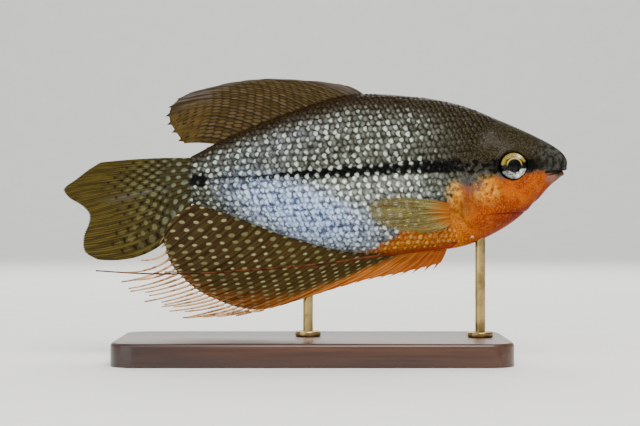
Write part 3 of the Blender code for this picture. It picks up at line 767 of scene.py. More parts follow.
def iris_finish(name, centre, looking):
    """Gold above the pupil, dark across it where the stripe runs, and silver below, each with a painted
    highlight.
    """
    paint = Paint(name)
    where = paint.object_place()
    offset = paint.node("ShaderNodeVectorMath", {"operation": "SUBTRACT"}, {0: where, 1: centre})
    front = Vector((abs(looking.y), -looking.x * math.copysign(1, looking.y), 0))
    ahead = paint.node("ShaderNodeVectorMath", {"operation": "DOT_PRODUCT"}, {0: offset, 1: front}, output=1)
    ahead = ahead * 1000
    up = paint.split(offset)[2] * 1000
    far = ahead.apart(up)
    grain = paint.noise(where, 2600.0, 3.0)
    streak = (grain - 0.5) * 0.8
    gold = paint.mix(grain.above(0.35, 0.65), (74, 58, 12), (118, 96, 22))
    gold = paint.mix((far + streak * 0.4).above(1.9, 2.3), gold, (190, 164, 62))
    # A painted highlight: a cream spot on the gold, above the pupil and towards the snout
    gold = paint.mix((ahead - 1.1).hump(1.1) * (up - 2.0).hump(0.7), gold, (234, 226, 180))
    silver = paint.mix(grain.above(0.35, 0.65), (112, 116, 112), (214, 216, 206))
    silver = paint.mix((ahead + up * 0.4).below(-1.8, 0.2) * 0.6, silver, (84, 92, 98))
    # A painted highlight: a white spot on the silver, below the pupil and towards the snout
    silver = paint.mix((ahead - 0.9).hump(0.9) * (up + 2.1).hump(0.6), silver, (244, 244, 238))
    level = up + streak * 0.6 - ahead * 0.14
    band = level.above(-1.0, -0.7) * level.below(0.35, 0.7)
    colour = paint.layers(
        paint.mix((up + streak).above(-0.4, 0.4), silver, gold),
        (band, (12, 13, 20)),
        ((far - PUPIL_RADIUS - 0.13).hump(0.2) * up.above(-0.3, 0.7), (232, 204, 90)),
        (far.above(2.62, 2.86), (28, 26, 24)),
        (far.below(PUPIL_RADIUS, PUPIL_RADIUS + 0.06), (3, 3, 5)),
    )
    return paint.set(
        Base_Color=colour,
        Roughness=0.25,
        Specular_IOR_Level=0.1,
        Normal=paint.bump(grain, 0.2, 0.0001),
    )


def cornea_finish():
    paint = Paint("clear_cornea")
    return paint.set(
        Base_Color=(1.0, 1.0, 1.0, 1.0), Roughness=0.02, IOR=1.2, Transmission_Weight=1.0,
    )


def wood_finish():
    """Dark varnished walnut, whose grain runs along the base."""
    paint = Paint("varnished_walnut")
    where = paint.object_place()
    stretch = paint.node("ShaderNodeMapping", None, {"Vector": where, "Scale": (14.0, 120.0, 120.0)})
    warp = paint.noise(stretch, 1.0, 3.0)
    x, y, z = paint.split(stretch)
    rings = ((y + warp * 5.0 + z * 0.5) * 0.9).math("SINE")
    fibre = paint.noise(paint.join(x * 3.0, y * 16.0, z * 16.0), 1.0, 4.0)
    tone = rings * 0.22 + fibre * 0.6 + 0.2
    stops = [(0.2, srgb(34, 18, 10)), (0.5, srgb(74, 42, 22)), (0.8, srgb(112, 68, 38))]
    colour = paint.node("ShaderNodeValToRGB", {"stops": stops}, {0: tone})
    pores = paint.noise(paint.join(x * 4.0, y * 40.0, z * 40.0), 1.0, 2.0).above(0.62, 0.7)
    return paint.set(
        Base_Color=paint.mix(pores * 0.6, colour, (18, 10, 6)),
        Roughness=0.38 + fibre * 0.15,
        Normal=paint.bump(fibre - pores * 0.6, 0.15, 0.0002),
        Coat_Weight=0.4,
        Coat_Roughness=0.15,
    )


def brass_finish():
    """Polished brass with fine turning grooves and faint stains."""
    paint = Paint("polished_brass")
    where = paint.object_place()
    x, y, z = paint.split(where)
    grooves = paint.noise(paint.join(x * 0.2, y * 0.2, z * 40.0), 90.0, 3.0)
    stain = paint.noise(where, 220.0, 4.0)
    return paint.set(
        Base_Color=paint.mix(stain.above(0.4, 0.7), (206, 178, 118), (160, 134, 84)),
        Metallic=1.0,
        Roughness=0.2 + stain * 0.14,
        Normal=paint.bump(grooves, 0.08, 0.0001),
    )


# Pieces

def active(name):
    made = bpy.context.object
    made.name = name
    made.data.name = name
    return made


def mesh_piece(name, points, faces):
    mesh = bpy.data.meshes.new(name)
    mesh.from_pydata(points, [], faces)
    return linked(name, mesh)


def linked(name, data):
    """A new object in the scene that shows a mesh, a lamp or a camera."""
    made = bpy.data.objects.new(name, data)
    bpy.context.scene.collection.objects.link(made)
    return made


def apply(made, kind, **settings):
    """Adds a modifier to the active object, sets it and applies it."""
    bpy.context.view_layer.objects.active = made
    step = made.modifiers.new("step", kind)
    for key, value in settings.items():
        setattr(step, key, value)
    bpy.ops.object.modifier_apply(modifier=step.name)


def settle(made, material, slot, *nodes, smooth_under=None):
    """Finishes a piece: its transform goes into its mesh, and it takes its finish and its nodes."""
    bpy.ops.object.select_all(action="DESELECT")
    made.select_set(True)
    bpy.context.view_layer.objects.active = made
    bpy.ops.object.transform_apply(location=True, rotation=True, scale=True)
    if smooth_under:
        bpy.ops.object.shade_smooth_by_angle(angle=math.radians(smooth_under))
    else:
        bpy.ops.object.shade_smooth()
    made.data.materials.clear()
    made.data.materials.append(material)
    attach(made, "root")
    if nodes:
        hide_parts(*nodes)
    return made


def face_outwards():
    """Turns the faces of the piece in edit mode outwards and leaves that mode."""
    bpy.ops.mesh.select_all(action="SELECT")
    bpy.ops.mesh.normals_make_consistent(inside=False)
    bpy.ops.object.mode_set(mode="OBJECT")


def add_maps(mesh, maps):
    """UV maps, each from a pair of numbers for every vertex."""
    for name, pairs in maps.items():
        layer = mesh.uv_layers.new(name=name)
        layer.uv.foreach_set("vector", [n for loop in mesh.loops for n in pairs[loop.vertex_index]])


def bent_grid(name, columns, rows, shape, maps):
    """A grid bent into shape. shape and the maps take how far across and along it a corner is."""
    bpy.ops.mesh.primitive_grid_add(x_subdivisions=columns, y_subdivisions=rows, size=1.0)
    made = active(name)
    mesh = made.data
    while mesh.uv_layers:
        mesh.uv_layers.remove(mesh.uv_layers[0])
    shares = [
        (round((v.co.x + 0.5) * columns) / columns, round((v.co.y + 0.5) * rows) / rows)
        for v in mesh.vertices
    ]
    mesh.vertices.foreach_set("co", [c for share in shares for c in shape(*share)])
    add_maps(mesh, {label: [spread(*share) for share in shares] for label, spread in maps.items()})
    return made


# The body's own surface, by how far behind the snout and the turn round it: 0 at the belly, 0.5 at the back

def section(behind):
    """The middle, back, belly and half width of the body at a distance behind the snout."""
    key = round(behind, 3)
    if key not in SECTIONS:
        SECTIONS[key] = (
            widest(key), station(BACK, key), station(BELLY, key), station(HALF_WIDTH, key),
            belly_keel(key),
        )
    return SECTIONS[key]


SECTIONS = {}


def flank(behind, turn):
    """A point of the body: behind, above and side. Turns up to a half run up the left side."""
    middle, back, belly, half, keel = section(behind)
    angle = 2 * math.pi * turn - math.pi / 2
    up, out = math.sin(angle), math.cos(angle)
    edge = back if up > 0 else belly
    power = BACK_KEEL if up > 0 else keel
    side = math.copysign(half * abs(out) ** power, out)
    return Vector((behind, middle + abs(up) * (edge - middle), side))


def outward(behind, turn):
    """The unit direction straight out of the body at a point of it."""
    step = 0.08 + 0.01 * behind
    low, high = max(behind - step, 0.02), min(behind + step, BODY_LENGTH)
    along = flank(high, turn) - flank(low, turn)
    around = flank(behind, turn + 0.004) - flank(behind, turn - 0.004)
    return along.cross(around).normalized()


def height_share(behind, above):
    """-1 at the belly, 0 at the widest line and 1 at the back."""
    middle, back, belly, _, _ = section(behind)
    reach = back - middle if above > middle else middle - belly
    return min(max((above - middle) / max(reach, 0.1), -1.0), 1.0)


def unwrap(behind, turn):
    return 0.01 + 0.98 * behind / BODY_LENGTH, 0.01 + 0.98 * turn


# Where the scales begin behind the head: above and behind
COAT_START = (
    (-19.0, 19.8), (-10.0, 23.9), (-6.0, 24.8), (-2.0, 23.0), (1.0, 20.0), (4.0, 18.6), (8.0, 17.0),
    (12.0, 13.6), (17.0, 11.0),
)


def coat_cover(behind, above):
    """0 on the bare head, 1 where the scales lie at their full depth."""
    return ease(-0.5, 4.0, behind - along_list(COAT_START, 1, above))


def from_line(behind, above, points):
    """The distance to the nearest part of a line of points."""
    at = Vector((behind, above))
    nearest = 1e6
    for low, high in zip(points, points[1:]):
        start, span = Vector(low), Vector(high) - Vector(low)
        share = min(max((at - start).dot(span) / span.length_squared, 0.0), 1.0)
        nearest = min(nearest, (at - start - span * share).length)
    return nearest


# How far back the mouth and the head go, and the forms on them as lines and places, behind and above
MOUTH_END = 9.5
HEAD_END = 27.0
GAPE = ((-0.6, 1.0), (2.0, 0.55), (4.4, -0.1))
JAW_LINE = ((4.5, -0.3), (5.4, -2.6), (6.8, -5.4), (8.3, -8.0))
CHEEK_LINE = ((14.9, -1.2), (15.0, -4.2), (14.0, -7.2), (11.6, -9.2))
THROAT_LINE = ((9.2, -8.0), (13.0, -8.25), (17.5, -8.5))
NOSTRILS = ((5.4, 4.2), (7.0, 4.6))
COVER_CENTRE = (18.8, -5.4)
COVER_HALF = (4.6, 6.3)
COVER_LEAN = math.radians(14.0)
# Creases of the head: a line of places, its depth and its half width
CREASES = ((JAW_LINE, 0.22, 0.28), (CHEEK_LINE, 0.16, 0.3), (THROAT_LINE, 0.14, 0.28))


def relief(behind, above):
    """How far the skin stands out from the plain form of the body, in millimetres."""
    rise = -COAT_DEPTH * coat_cover(behind, above)
    rise *= 1 - 0.75 * ease(0.86, 0.99, abs(height_share(behind, above)))
    if behind > HEAD_END:
        return rise
    eye = math.hypot(behind - EYE_BEHIND, above - EYE_ABOVE)
    rise += 0.26 * hump(eye - SOCKET_RIM, 0.42)
    rise -= SOCKET_DEPTH * (1 - ease(SOCKET_FLOOR, SOCKET_RADIUS, eye))
    if behind < MOUTH_END:
        drop = above - along_list(GAPE, 1, behind)
        front = 1 - ease(3.9, 4.9, behind)
        rise -= 0.5 * hump(drop, 0.17) * front
        rise += 0.3 * hump(abs(drop) - 0.52, 0.34) * front
        for nostril in NOSTRILS:
            far = math.hypot(behind - nostril[0], above - nostril[1])
            rise += 0.16 * hump(far - 0.55, 0.24) - 0.55 * hump(far, 0.3)
    for line, deep, half in CREASES:
        rise -= deep * hump(from_line(behind, above, line), half)
    along, up = turned(behind - COVER_CENTRE[0], above - COVER_CENTRE[1], COVER_LEAN)
    share = math.hypot(along / COVER_HALF[0], up / COVER_HALF[1])
    rear = ease(-0.3, 0.5, math.cos(math.atan2(up, along)))
    rise += 0.22 * (1 - ease(0.75, 1.0, share))
    rise += (0.12 * hump(share - 0.93, 0.09) - 0.34 * hump(share - 1.05, 0.06)) * (0.25 + 0.75 * rear)
    return rise


def skin_piece():
    """The whole skin in one piece from the snout to the root of the tail fin."""
    def at_ring(along):
        return 0.05 + (BODY_LENGTH - 0.05) * along ** RING_CROWDING

    def shape(across, along):
        behind = at_ring(along)
        point = flank(behind, across)
        point += outward(behind, across) * relief(point.x, point.y)
        return place(*point)

    def body_map(across, along):
        behind = at_ring(along)
        above = flank(behind, across).y
        return behind / 100, 0.5 + height_share(behind, above) / 2

    maps = {
        "BodyMap": body_map,
        "OFBake": lambda across, along: unwrap(at_ring(along), across),
    }
    made = bent_grid("fish_skin", SKIN_SPOKES, SKIN_RINGS, shape, maps)
    bpy.ops.object.mode_set(mode="EDIT")
    bpy.ops.mesh.select_all(action="SELECT")
    bpy.ops.mesh.remove_doubles(threshold=1e-7)
    bpy.ops.mesh.select_all(action="DESELECT")
    bpy.ops.mesh.select_mode(type="EDGE")
    bpy.ops.mesh.select_non_manifold()
    bpy.ops.mesh.edge_face_add()
    face_outwards()
    return made


def arc_table(behind):
    """Turns up the left side from belly to back, with the distance along the skin from the widest line."""
    steps = 120
    turns = [0.5 * i / steps for i in range(steps + 1)]
    points = [flank(behind, turn) for turn in turns]
    arcs = [0.0]
    for low, high in zip(points, points[1:]):
        arcs.append(arcs[-1] + (high - low).length)
    middle = arcs[steps // 2]
    return turns, [arc - middle for arc in arcs]


def turn_at(table, arc):
    turns, arcs = table
    low, high = 0, len(arcs) - 1
    while high - low > 1:
        half = (low + high) // 2
        if arcs[half] <= arc:
            low = half
        else:
            high = half
    share = (arc - arcs[low]) / (arcs[high] - arcs[low])
    return between((turns[low], turns[high]), min(max(share, 0.0), 1.0))


def plate_faces(columns, rows):
    """The faces of a closed plate of two sheets, whose corners are numbered row by row."""
    def corner(layer, i, j):
        return (layer * (rows + 1) + j) * (columns + 1) + i

    faces = []
    for j in range(rows):
        for i in range(columns):
            start, up, far, along = (i, j), (i, j + 1), (i + 1, j + 1), (i + 1, j)
            faces.append(tuple(corner(0, *at) for at in (start, up, far, along)))
            faces.append(tuple(corner(1, *at) for at in (start, along, far, up)))
    border = [(i, 0) for i in range(columns)] + [(columns, j) for j in range(rows)]
    border += [(columns - i, rows - j) for i, j in border]
    for low, high in zip(border, border[1:] + border[:1]):
        faces.append((corner(0, *low), corner(0, *high), corner(1, *high), corner(1, *low)))
    return faces


def pearl_amount(behind, above, row, column):
    """How bright a scale's pearl is: every other one on the flank, more of them in the blue patch."""
    far = math.hypot(*in_patch(behind, above, BLUE_PATCH))
    chosen = (column + (row % 4 == 1)) % 2 == 0
    amount = random.uniform(0.72, 1.0) if chosen else random.uniform(-0.1, 0.15)
    amount = max(amount, (1 - ease(0.5, 1.2, far)) * random.uniform(0.35, 0.95))
    high = ease(0.72, 0.98, height_share(behind, above))
    start = ease(24.0, 33.0, behind - 4.0 * high + random.uniform(-2.0, 2.0))
    if random.random() < 0.06:
        amount *= 0.4
    return amount * (1 - 0.85 * high) * (0.15 + 0.85 * start)


def scale_coat(name, left):
    """Overlapping scales over one flank, each wrapped to the body, in rows beside the widest line."""
    points, faces, maps = [], [], {"BodyMap": [], "ScaleMap": [], "OFBake": []}
    chances, pearls = [], []
    plate = plate_faces(SCALE_COLUMNS, SCALE_ROWS)
    if not left:
        plate = [face[::-1] for face in plate]
    column, behind = 0, COAT_FRONT
    while behind < COAT_REAR:
        for shift in (0, 1):
            root = behind + shift * SCALE_PITCH / 2
            table = arc_table(root)
            first = math.ceil((table[1][0] + COAT_EDGE_GAP) / SCALE_ROW)
            last = math.floor((table[1][-1] - COAT_EDGE_GAP) / SCALE_ROW)
            for row in range(first, last + 1):
                if row % 2 != shift:
                    continue
                arc = row * SCALE_ROW + random.uniform(-SCALE_STRAY_ACROSS, SCALE_STRAY_ACROSS)
                turn = turn_at(table, arc)
                above = flank(root, turn).y
                inside = root - along_list(COAT_START, 1, above)
                if inside < 0:
                    continue
                size = (0.8 + 0.2 * ease(0.0, 6.0, inside)) * (1 - 0.2 * ease(66.0, 80.0, root))
                faces.extend(tuple(len(points) + k for k in face) for face in plate)
                add_scale(points, maps, table, root, arc, size, left)
                chances += [random.random()] * SCALE_POINTS
                pearls += [pearl_amount(root, above, row, column)] * SCALE_POINTS
        behind += SCALE_PITCH
        column += 1
    made = mesh_piece(name, points, faces)
    add_maps(made.data, maps)
    for label, values in (("scale_chance", chances), ("scale_pearl", pearls)):
        made.data.attributes.new(label, "FLOAT", "POINT").data.foreach_set("value", values)
    return made


def add_scale(points, maps, table, root, arc, size, left):
    """The points of one scale, a thin plate with its root sunk in the skin and its rear edge on top."""
    side_sign = 1 if left else -1
    wide, columns, rows = SCALE_HALF_WIDTH * size, SCALE_COLUMNS, SCALE_ROWS
    length = SCALE_LENGTH * size * random.uniform(0.94, 1.06)
    lift = random.uniform(-SCALE_STRAY_LIFT, SCALE_STRAY_LIFT)
    root += random.uniform(-SCALE_STRAY_ALONG, SCALE_STRAY_ALONG)
    root_turn = turn_at(table, arc)
    root_turn = root_turn if left else 1 - root_turn
    root_spot = unwrap(root, root_turn)
    for layer in (0, 1):
        for j in range(rows + 1):
            for i in range(columns + 1):
                across, along = 2 * i / columns - 1, j / rows
                spread = math.sqrt(max(0.0, 1 - (1 - min(along * 1.6 + 0.25, 1.0)) ** 2))
                at_arc = arc + across * wide * (0.35 + 0.65 * spread) * (1 - 0.25 * along ** 4)
                reach = along * length * (1 - 0.3 * across * across * along)
                behind = min(root + reach - length * 0.3, BODY_LENGTH + 2.0)
                at_arc = min(max(at_arc, table[1][0] + 0.02), table[1][-1] - 0.02)
                turn = turn_at(table, at_arc)
                turn = turn if left else 1 - turn
                on_body = min(behind, BODY_LENGTH)
                base = flank(on_body, turn)
                out = outward(on_body, turn)
                base.x += behind - on_body
                height = between((-SCALE_ROOT_DEPTH, SCALE_EDGE_HEIGHT), along) + lift * along
                height -= SCALE_ARCH * across * across
                height -= layer * SCALE_THICKNESS * (1 - 0.6 * along)
                points.append(place(*(base + out * height)))
                maps["BodyMap"].append((behind / 100, 0.5 + height_share(on_body, base.y) / 2))
                maps["ScaleMap"].append((0.5 + across * side_sign / 2, along))
                patch = (root_spot[0] + (along - 0.5) * 0.003, root_spot[1] + across * 0.0015)
                maps["OFBake"].append(patch)


# Fins: within 2 mm of the solid ones' lines, with a finer membrane. The half thickness of a ray and of the
# web between two goes from the first number at the root to the second at the margin.
RAY_HALF = (0.34, 0.13)
WEB_HALF = (0.22, 0.06)


def ray_ridge(number, out, split):
    """1 on a ray and 0 midway between two, for a place counted in rays across the fin."""
    far = abs(number - math.floor(number) - 0.5)
    if split:
        far = abs(far - 0.25 * ease(split[0], split[1], out))
        far = abs(far - 0.125 * ease(split[2], split[3], out))
    return hump(far, 0.12)


def leaned(u, lean):
    """How far along its base a ray starts. Lean crowds the first rays forward, so that they sweep back."""
    return (1 - lean) * u + lean * u ** 2.3


def fin_line(base, margin, bow):
    """A function of places on a fin, by the share across it and the share out along a ray."""
    def along(u, v):
        start, end = Vector(base(u)), Vector(smooth(margin, u))
        chord = end - start
        lift = Vector((-chord.y, chord.x)).normalized() * bow(u) * 4 * v * (1 - v)
        return start + chord * v + lift

    return along


def fin_piece(name, rays, along, side, tip, notch, split=None, root=1.0, sink=1.0, fine=10, rows=44):
    """A fin's membrane with raised rays. Rays end in free tips, and the web between them is notched."""
    def reach(u, v):
        length = max((along(u, 1.0) - along(u, 0.0)).length, 0.1)
        ridge = ray_ridge(u * rays, 1.0, split)
        edge = 1 + (tip(u) * ridge - notch * (1 - ridge)) / length
        inner = -sink / length
        return inner + (edge - inner) * v

    def shape(u, v):
        at = along(u, reach(u, v))
        sway = 0.12 * math.sin(u * rays * 2.4 + 1.0) * ease(0.2, 1.0, v)
        return place(at.x, at.y, side(u, min(max(reach(u, v), 0.0), 1.0), at) + sway)

    def ray_map(u, v):
        length = (along(u, 1.0) - along(u, 0.0)).length
        return u * rays / 100, reach(u, v) * length / 100

    maps = {"FinMap": lambda u, v: (u, reach(u, v)), "RayMap": ray_map}
    made = bent_grid(name, rays * fine, rows, shape, maps)
    group = made.vertex_groups.new(name="thickness")
    thickest = max(RAY_HALF) * root
    for vertex in made.data.vertices:
        i, j = vertex.index % (rays * fine + 1), vertex.index // (rays * fine + 1)
        u, v = i / (rays * fine), j / rows
        ridge = ray_ridge(u * rays, v, split)
        half = between(WEB_HALF, v) + ridge * (between(RAY_HALF, v) - between(WEB_HALF, v))
        half *= 1 + (root - 1) * max(0.0, 1 - 5 * v)
        half *= 1 - 0.55 * ease(0.93, 1.0, v)
        group.add([vertex.index], min(half / thickest, 1.0), "REPLACE")
    apply(
        made, "SOLIDIFY", thickness=2 * thickest * MM, offset=0.0, vertex_group=group.name,
        use_even_offset=False,
    )
    return made


def tubes(name, lines, sides=8):
    """Thin tapering tubes in one mesh. A line is world points, each with its radius in millimetres."""
    points, faces = [], []
    for line in lines:
        start = len(points)
        across = Vector((0, 0, 1))
        for i, (centre, radius) in enumerate(line):
            ahead = line[min(i + 1, len(line) - 1)][0] - line[max(i - 1, 0)][0]
            ahead.normalize()
            across = (across - ahead * across.dot(ahead)).normalized()
            out = across.cross(ahead)
            for k in range(sides):
                angle = 2 * math.pi * k / sides
                spoke = across * math.cos(angle) + out * math.sin(angle)
                points.append(centre + spoke * radius * MM)
        for i in range(len(line) - 1):
            for k in range(sides):
                a, b = start + i * sides + k, start + i * sides + (k + 1) % sides
                faces.append((a, b, b + sides, a + sides))
        end = len(points) - sides
        faces.append(tuple(start + k for k in reversed(range(sides))))
        faces.append(tuple(end + k for k in range(sides)))
    made = mesh_piece(name, points, faces)
    bpy.context.view_layer.objects.active = made
    made.select_set(True)
    bpy.ops.object.mode_set(mode="EDIT")
    face_outwards()
    return made


def strands(name, along, side, rays, length):
    """The free threads past a fin's margin: each leaves along its own ray and turns to the trend."""
    lines = []
    for k in range(rays):
        u = (k + 0.5) / rays
        reach = length(u, k)
        if reach < FILAMENT_SHORTEST:
            continue
        foot = along(u, 1.0)
        heading = (foot - along(u, 0.93)).normalized()
        aside = random.uniform(-1, 1) * FILAMENT_SPREAD
        line = []
        for i in range(FILAMENT_STEPS + 1):
            share = i / FILAMENT_STEPS
            turn = FILAMENT_TURN * share
            at = foot + (heading * (1 - turn) + FILAMENT_TREND * turn) * reach * share
            at = at + Vector((-heading.y, heading.x)) * aside * share * share
            line.append((place(at.x, at.y, side(u, 1.0 + share, at)), between(FILAMENT_RADII, share)))
        lines.append(line)
    return tubes(name, lines)


# Each fin's rays, the ends of its base and its margin: behind and above, or for two bases only one of them.
# A lean crowds the rays of a long base forward.
DORSAL_RAYS, DORSAL_BASE, DORSAL_LEAN = 15, (44.2, 76.5), 0.6
DORSAL_MARGIN = (
    (47.8, 19.4), (54.0, 20.3), (60.5, 20.6), (66.5, 20.7), (72.5, 20.1), (78.0, 18.9),
    (82.8, 17.5), (86.0, 15.0), (86.5, 12.1), (85.2, 9.5), (83.2, 6.9),
)
ANAL_RAYS, ANAL_BASE, ANAL_LEAN = 38, (26.0, 80.9), 0.3
ANAL_MARGIN = (
    (27.6, -19.4), (35.8, -21.2), (45.1, -23.0), (55.8, -26.2), (65.0, -29.0), (70.8, -28.9),
    (75.8, -27.3), (80.0, -25.3), (83.6, -22.4), (86.4, -18.9), (87.8, -13.4),
)
CAUDAL_RAYS, CAUDAL_BASE = 16, (3.8, -6.5)
CAUDAL_MARGIN = (
    (101.3, 2.9), (104.2, 1.1), (107.0, -1.0), (109.4, -2.9), (108.2, -4.8), (105.4, -6.5),
    (103.7, -8.3), (103.8, -10.5), (104.9, -13.5), (104.6, -16.6), (101.8, -18.4),
)
PECTORAL_RAYS, PECTORAL_BASE = 10, (-6.3, -10.4)
PECTORAL_ROOT = 25.0
PECTORAL_MARGIN = (
    (40.3, -5.2), (42.8, -6.6), (42.6, -8.8), (40.6, -10.5), (37.0, -11.8), (30.8, -12.4),
)
PECTORAL_FLARE = 3.2

# The free ray tips of the anal fin: they start on their rays' lines and turn towards a common trend
FILAMENT_LENGTH = 11.4
FILAMENT_SHORTEST = 1.2
FILAMENT_RADII = (0.28, 0.15)
FILAMENT_SPREAD = 0.5
FILAMENT_TREND = Vector((0.98, -0.2))
FILAMENT_TURN = 0.75
FILAMENT_STEPS = 12

# The pelvic threads: each side's sign, share of the path's length and spread away from the body
PELVIC_SIDES = (("right", -1, 1.0, 1.6), ("left", 1, 0.82, 9.5))
PELVIC_ROOT = (24.6, -14.7)
PELVIC_PATH = (
    (27.5, -15.6), (33.0, -16.3), (41.5, -17.5), (52.3, -19.1), (66.3, -20.3), (79.3, -21.2),
    (91.0, -21.3), (102.0, -20.7),
)
PELVIC_RADII = (0.36, 0.14)
PELVIC_THINNEST = 0.1
PELVIC_CLEARANCE = 0.85
PELVIC_STEPS = 110


def dorsal_fin():
    def base(u):
        behind = between(DORSAL_BASE, leaned(u, DORSAL_LEAN))
        return behind, station(BACK, behind)

    along = fin_line(base, DORSAL_MARGIN, lambda u: 0.2 + 2.4 * math.sin(math.pi * u ** 1.6))
    made = fin_piece(
        "dorsal_membrane", DORSAL_RAYS, along, lambda u, v, at: 0.8 * v * v * math.sin(2.6 * u),
        tip=lambda u: 0.5, notch=0.35, fine=12,
    )
    settle(made, dorsal_finish(), "fin_membrane", "dorsal_fin")


def anal_fin():
    chance = random.Random(5)
    lengths = [chance.uniform(0.72, 1.0) for _ in range(ANAL_RAYS)]

    def base(u):
        behind = between(ANAL_BASE, leaned(u, ANAL_LEAN))
        return behind, station(BELLY, behind)

    def reach(u, k):
        rise = min(max((u - 0.38) / 0.1, 0.0), 1.0)
        fall = min(max((0.965 - u) / 0.06, 0.0), 1.0)
        return FILAMENT_LENGTH * rise * fall * lengths[k]

    def side(u, v, at):
        return -0.7 * u * u * v * v

    along = fin_line(base, ANAL_MARGIN, lambda u: 1.1 * u ** 14 - 0.1 - 1.3 * math.sin(math.pi * u ** 1.4))
    made = fin_piece(
        "anal_membrane", ANAL_RAYS, along, side,
        tip=lambda u: 1.3 - 0.5 * ease(0.2, 0.4, u) + 0.5 * ease(0.93, 0.99, u),
        notch=0.5, fine=8,
    )
    settle(made, anal_finish(), "fin_membrane", "anal_fin")
    threads = strands("anal_threads", along, side, ANAL_RAYS, reach)
    finish = thread_finish("fin_thread", (222, 178, 126), (188, 132, 80), (190, 118, 62), 66.0)
    settle(threads, finish, "fin_membrane", "anal_fin")


def caudal_fin():
    along = fin_line(
        lambda u: (BODY_LENGTH, between(CAUDAL_BASE, u)), CAUDAL_MARGIN, lambda u: 0.3 - 4.6 * u ** 4,
    )
    made = fin_piece(
        "caudal_membrane", CAUDAL_RAYS, along, lambda u, v, at: 0.8 * v * v * (1 - 2 * u) + 0.4 * u ** 4,
        tip=lambda u: 0.3, notch=0.2, split=(0.15, 0.45, 0.5, 0.8), root=2.4, sink=1.5, fine=16, rows=60,
    )
    settle(made, caudal_finish(), "fin_membrane", "caudal_fin")


def pectoral_fin(label, sign):
    def side(u, v, at):
        flare = PECTORAL_FLARE * max(0.0, min(v, 1.0) - 0.08) ** 1.3
        return sign * (half_width(at.x, at.y) - 0.5 + 1.25 * ease(0.0, 0.22, v) + flare)

    along = fin_line(
        lambda u: (PECTORAL_ROOT, between(PECTORAL_BASE, u)), PECTORAL_MARGIN, lambda u: 0.6 - 1.2 * u,
    )
    return fin_piece(
        "pectoral_membrane_" + label, PECTORAL_RAYS, along, side, tip=lambda u: 0.3, notch=0.15,
        split=(0.3, 0.6, 0.65, 0.9), sink=0.4, fine=14, rows=40,
    )


def pectoral_fins():
    finish = pectoral_finish()
    for label, sign in (("right", -1), ("left", 1)):
        settle(pectoral_fin(label, sign), finish, "fin_membrane", "pectoral_fin_" + label)


def pelvic_threads():
    finish = thread_finish("pelvic_thread", (122, 70, 44), (72, 42, 24), (150, 56, 16), 42.0)
    for label, sign, length, spread in PELVIC_SIDES:
        behind, above = PELVIC_ROOT
        root = half_width(behind, above)
        places = [place(behind - 0.4, above + 0.3, sign * (root - 0.4))]
        places.append(place(behind + 0.5, above - 0.6, sign * (root + 0.8)))
        for i in range(PELVIC_STEPS + 1):
            share = length * i / PELVIC_STEPS
            behind, above = smooth(PELVIC_PATH, share)
            clear = max(half_width(behind, above + 0.6), 0.9) + PELVIC_CLEARANCE
            places.append(place(behind, above, sign * (clear + spread * share ** 1.2)))
        line = []
        for i, at in enumerate(places):
            share = i / (len(places) - 1)
            joint = 1 + 0.07 * math.cos(share * 190)
            line.append((at, max(between(PELVIC_RADII, share ** 0.8) * joint, PELVIC_THINNEST)))
        made = tubes("pelvic_thread_" + label, [line], 14)
        settle(made, finish, "pelvic_thread", "pelvic_fin_" + label)


def flat_ball(name, centre, turn, radius, depth):
    bpy.ops.mesh.primitive_uv_sphere_add(
        segments=64, ring_count=40, radius=1.0, location=centre, rotation=turn,
    )
    made = active(name)
    made.scale = (radius * MM, radius * MM, depth * MM)
    return made


def eyes():
    clear = cornea_finish()
    for label, sign in (("right", -1), ("left", 1)):
        centre = place(EYE_BEHIND, EYE_ABOVE, sign * EYE_OUT)
        looking = Vector((math.sin(EYE_TURN), sign * math.cos(EYE_TURN), 0))
        turn = looking.to_track_quat("Z", "Y").to_euler()
        ball = flat_ball("eyeball_" + label, centre, turn, EYEBALL_RADIUS, EYEBALL_DEPTH)
        settle(ball, iris_finish("iris_" + label, centre, looking), "eye", "eye_" + label)
        front = centre + looking * CORNEA_OUT * MM
        settle(flat_ball("cornea_" + label, front, turn, CORNEA_RADIUS, CORNEA_DEPTH), clear, "eye")


# The stand in metres: its base with rounded corners and top edge, and two rods on collars. A rod stands
# behind the snout and to the left by millimetres, and its end is sunk in the fish a little.
BASE_SIZE = (0.084, 0.040, 0.005)
BASE_CORNER = 0.006
BASE_EDGE = 0.0008
ROD_PLACES = (("front", 18.8, 0.0), ("rear", 56.0, 2.7))
ROD_SINK = 0.5
ROD_RADIUS = 0.0011
COLLAR_RADIUS = 0.0028
COLLAR_HEIGHT = 0.0012
COLLAR_EDGE = 0.00035
SMOOTH_UNDER = 35


def round_edges(made, chosen, radius, segments):
    """Rounds the edges of the active piece that a test of their two ends picks."""
    bpy.ops.object.mode_set(mode="EDIT")
    bpy.ops.mesh.select_mode(type="EDGE")
    bpy.ops.mesh.select_all(action="DESELECT")
    bpy.ops.object.mode_set(mode="OBJECT")
    mesh = made.data
    for edge in mesh.edges:
        edge.select = chosen(*(mesh.vertices[i].co.z for i in edge.vertices))
    bpy.ops.object.mode_set(mode="EDIT")
    bpy.ops.mesh.bevel(offset=radius, segments=segments, affect="EDGES")
    bpy.ops.object.mode_set(mode="OBJECT")


def standing_rod(name, foot, radius, height, sides):
    """An upright cylinder on the base, under a point of the fish."""
    middle = BASE_SIZE[2] + height / 2
    bpy.ops.mesh.primitive_cylinder_add(
        vertices=sides, radius=radius, depth=height, location=(foot.x, foot.y, middle),
    )
    return active(name)


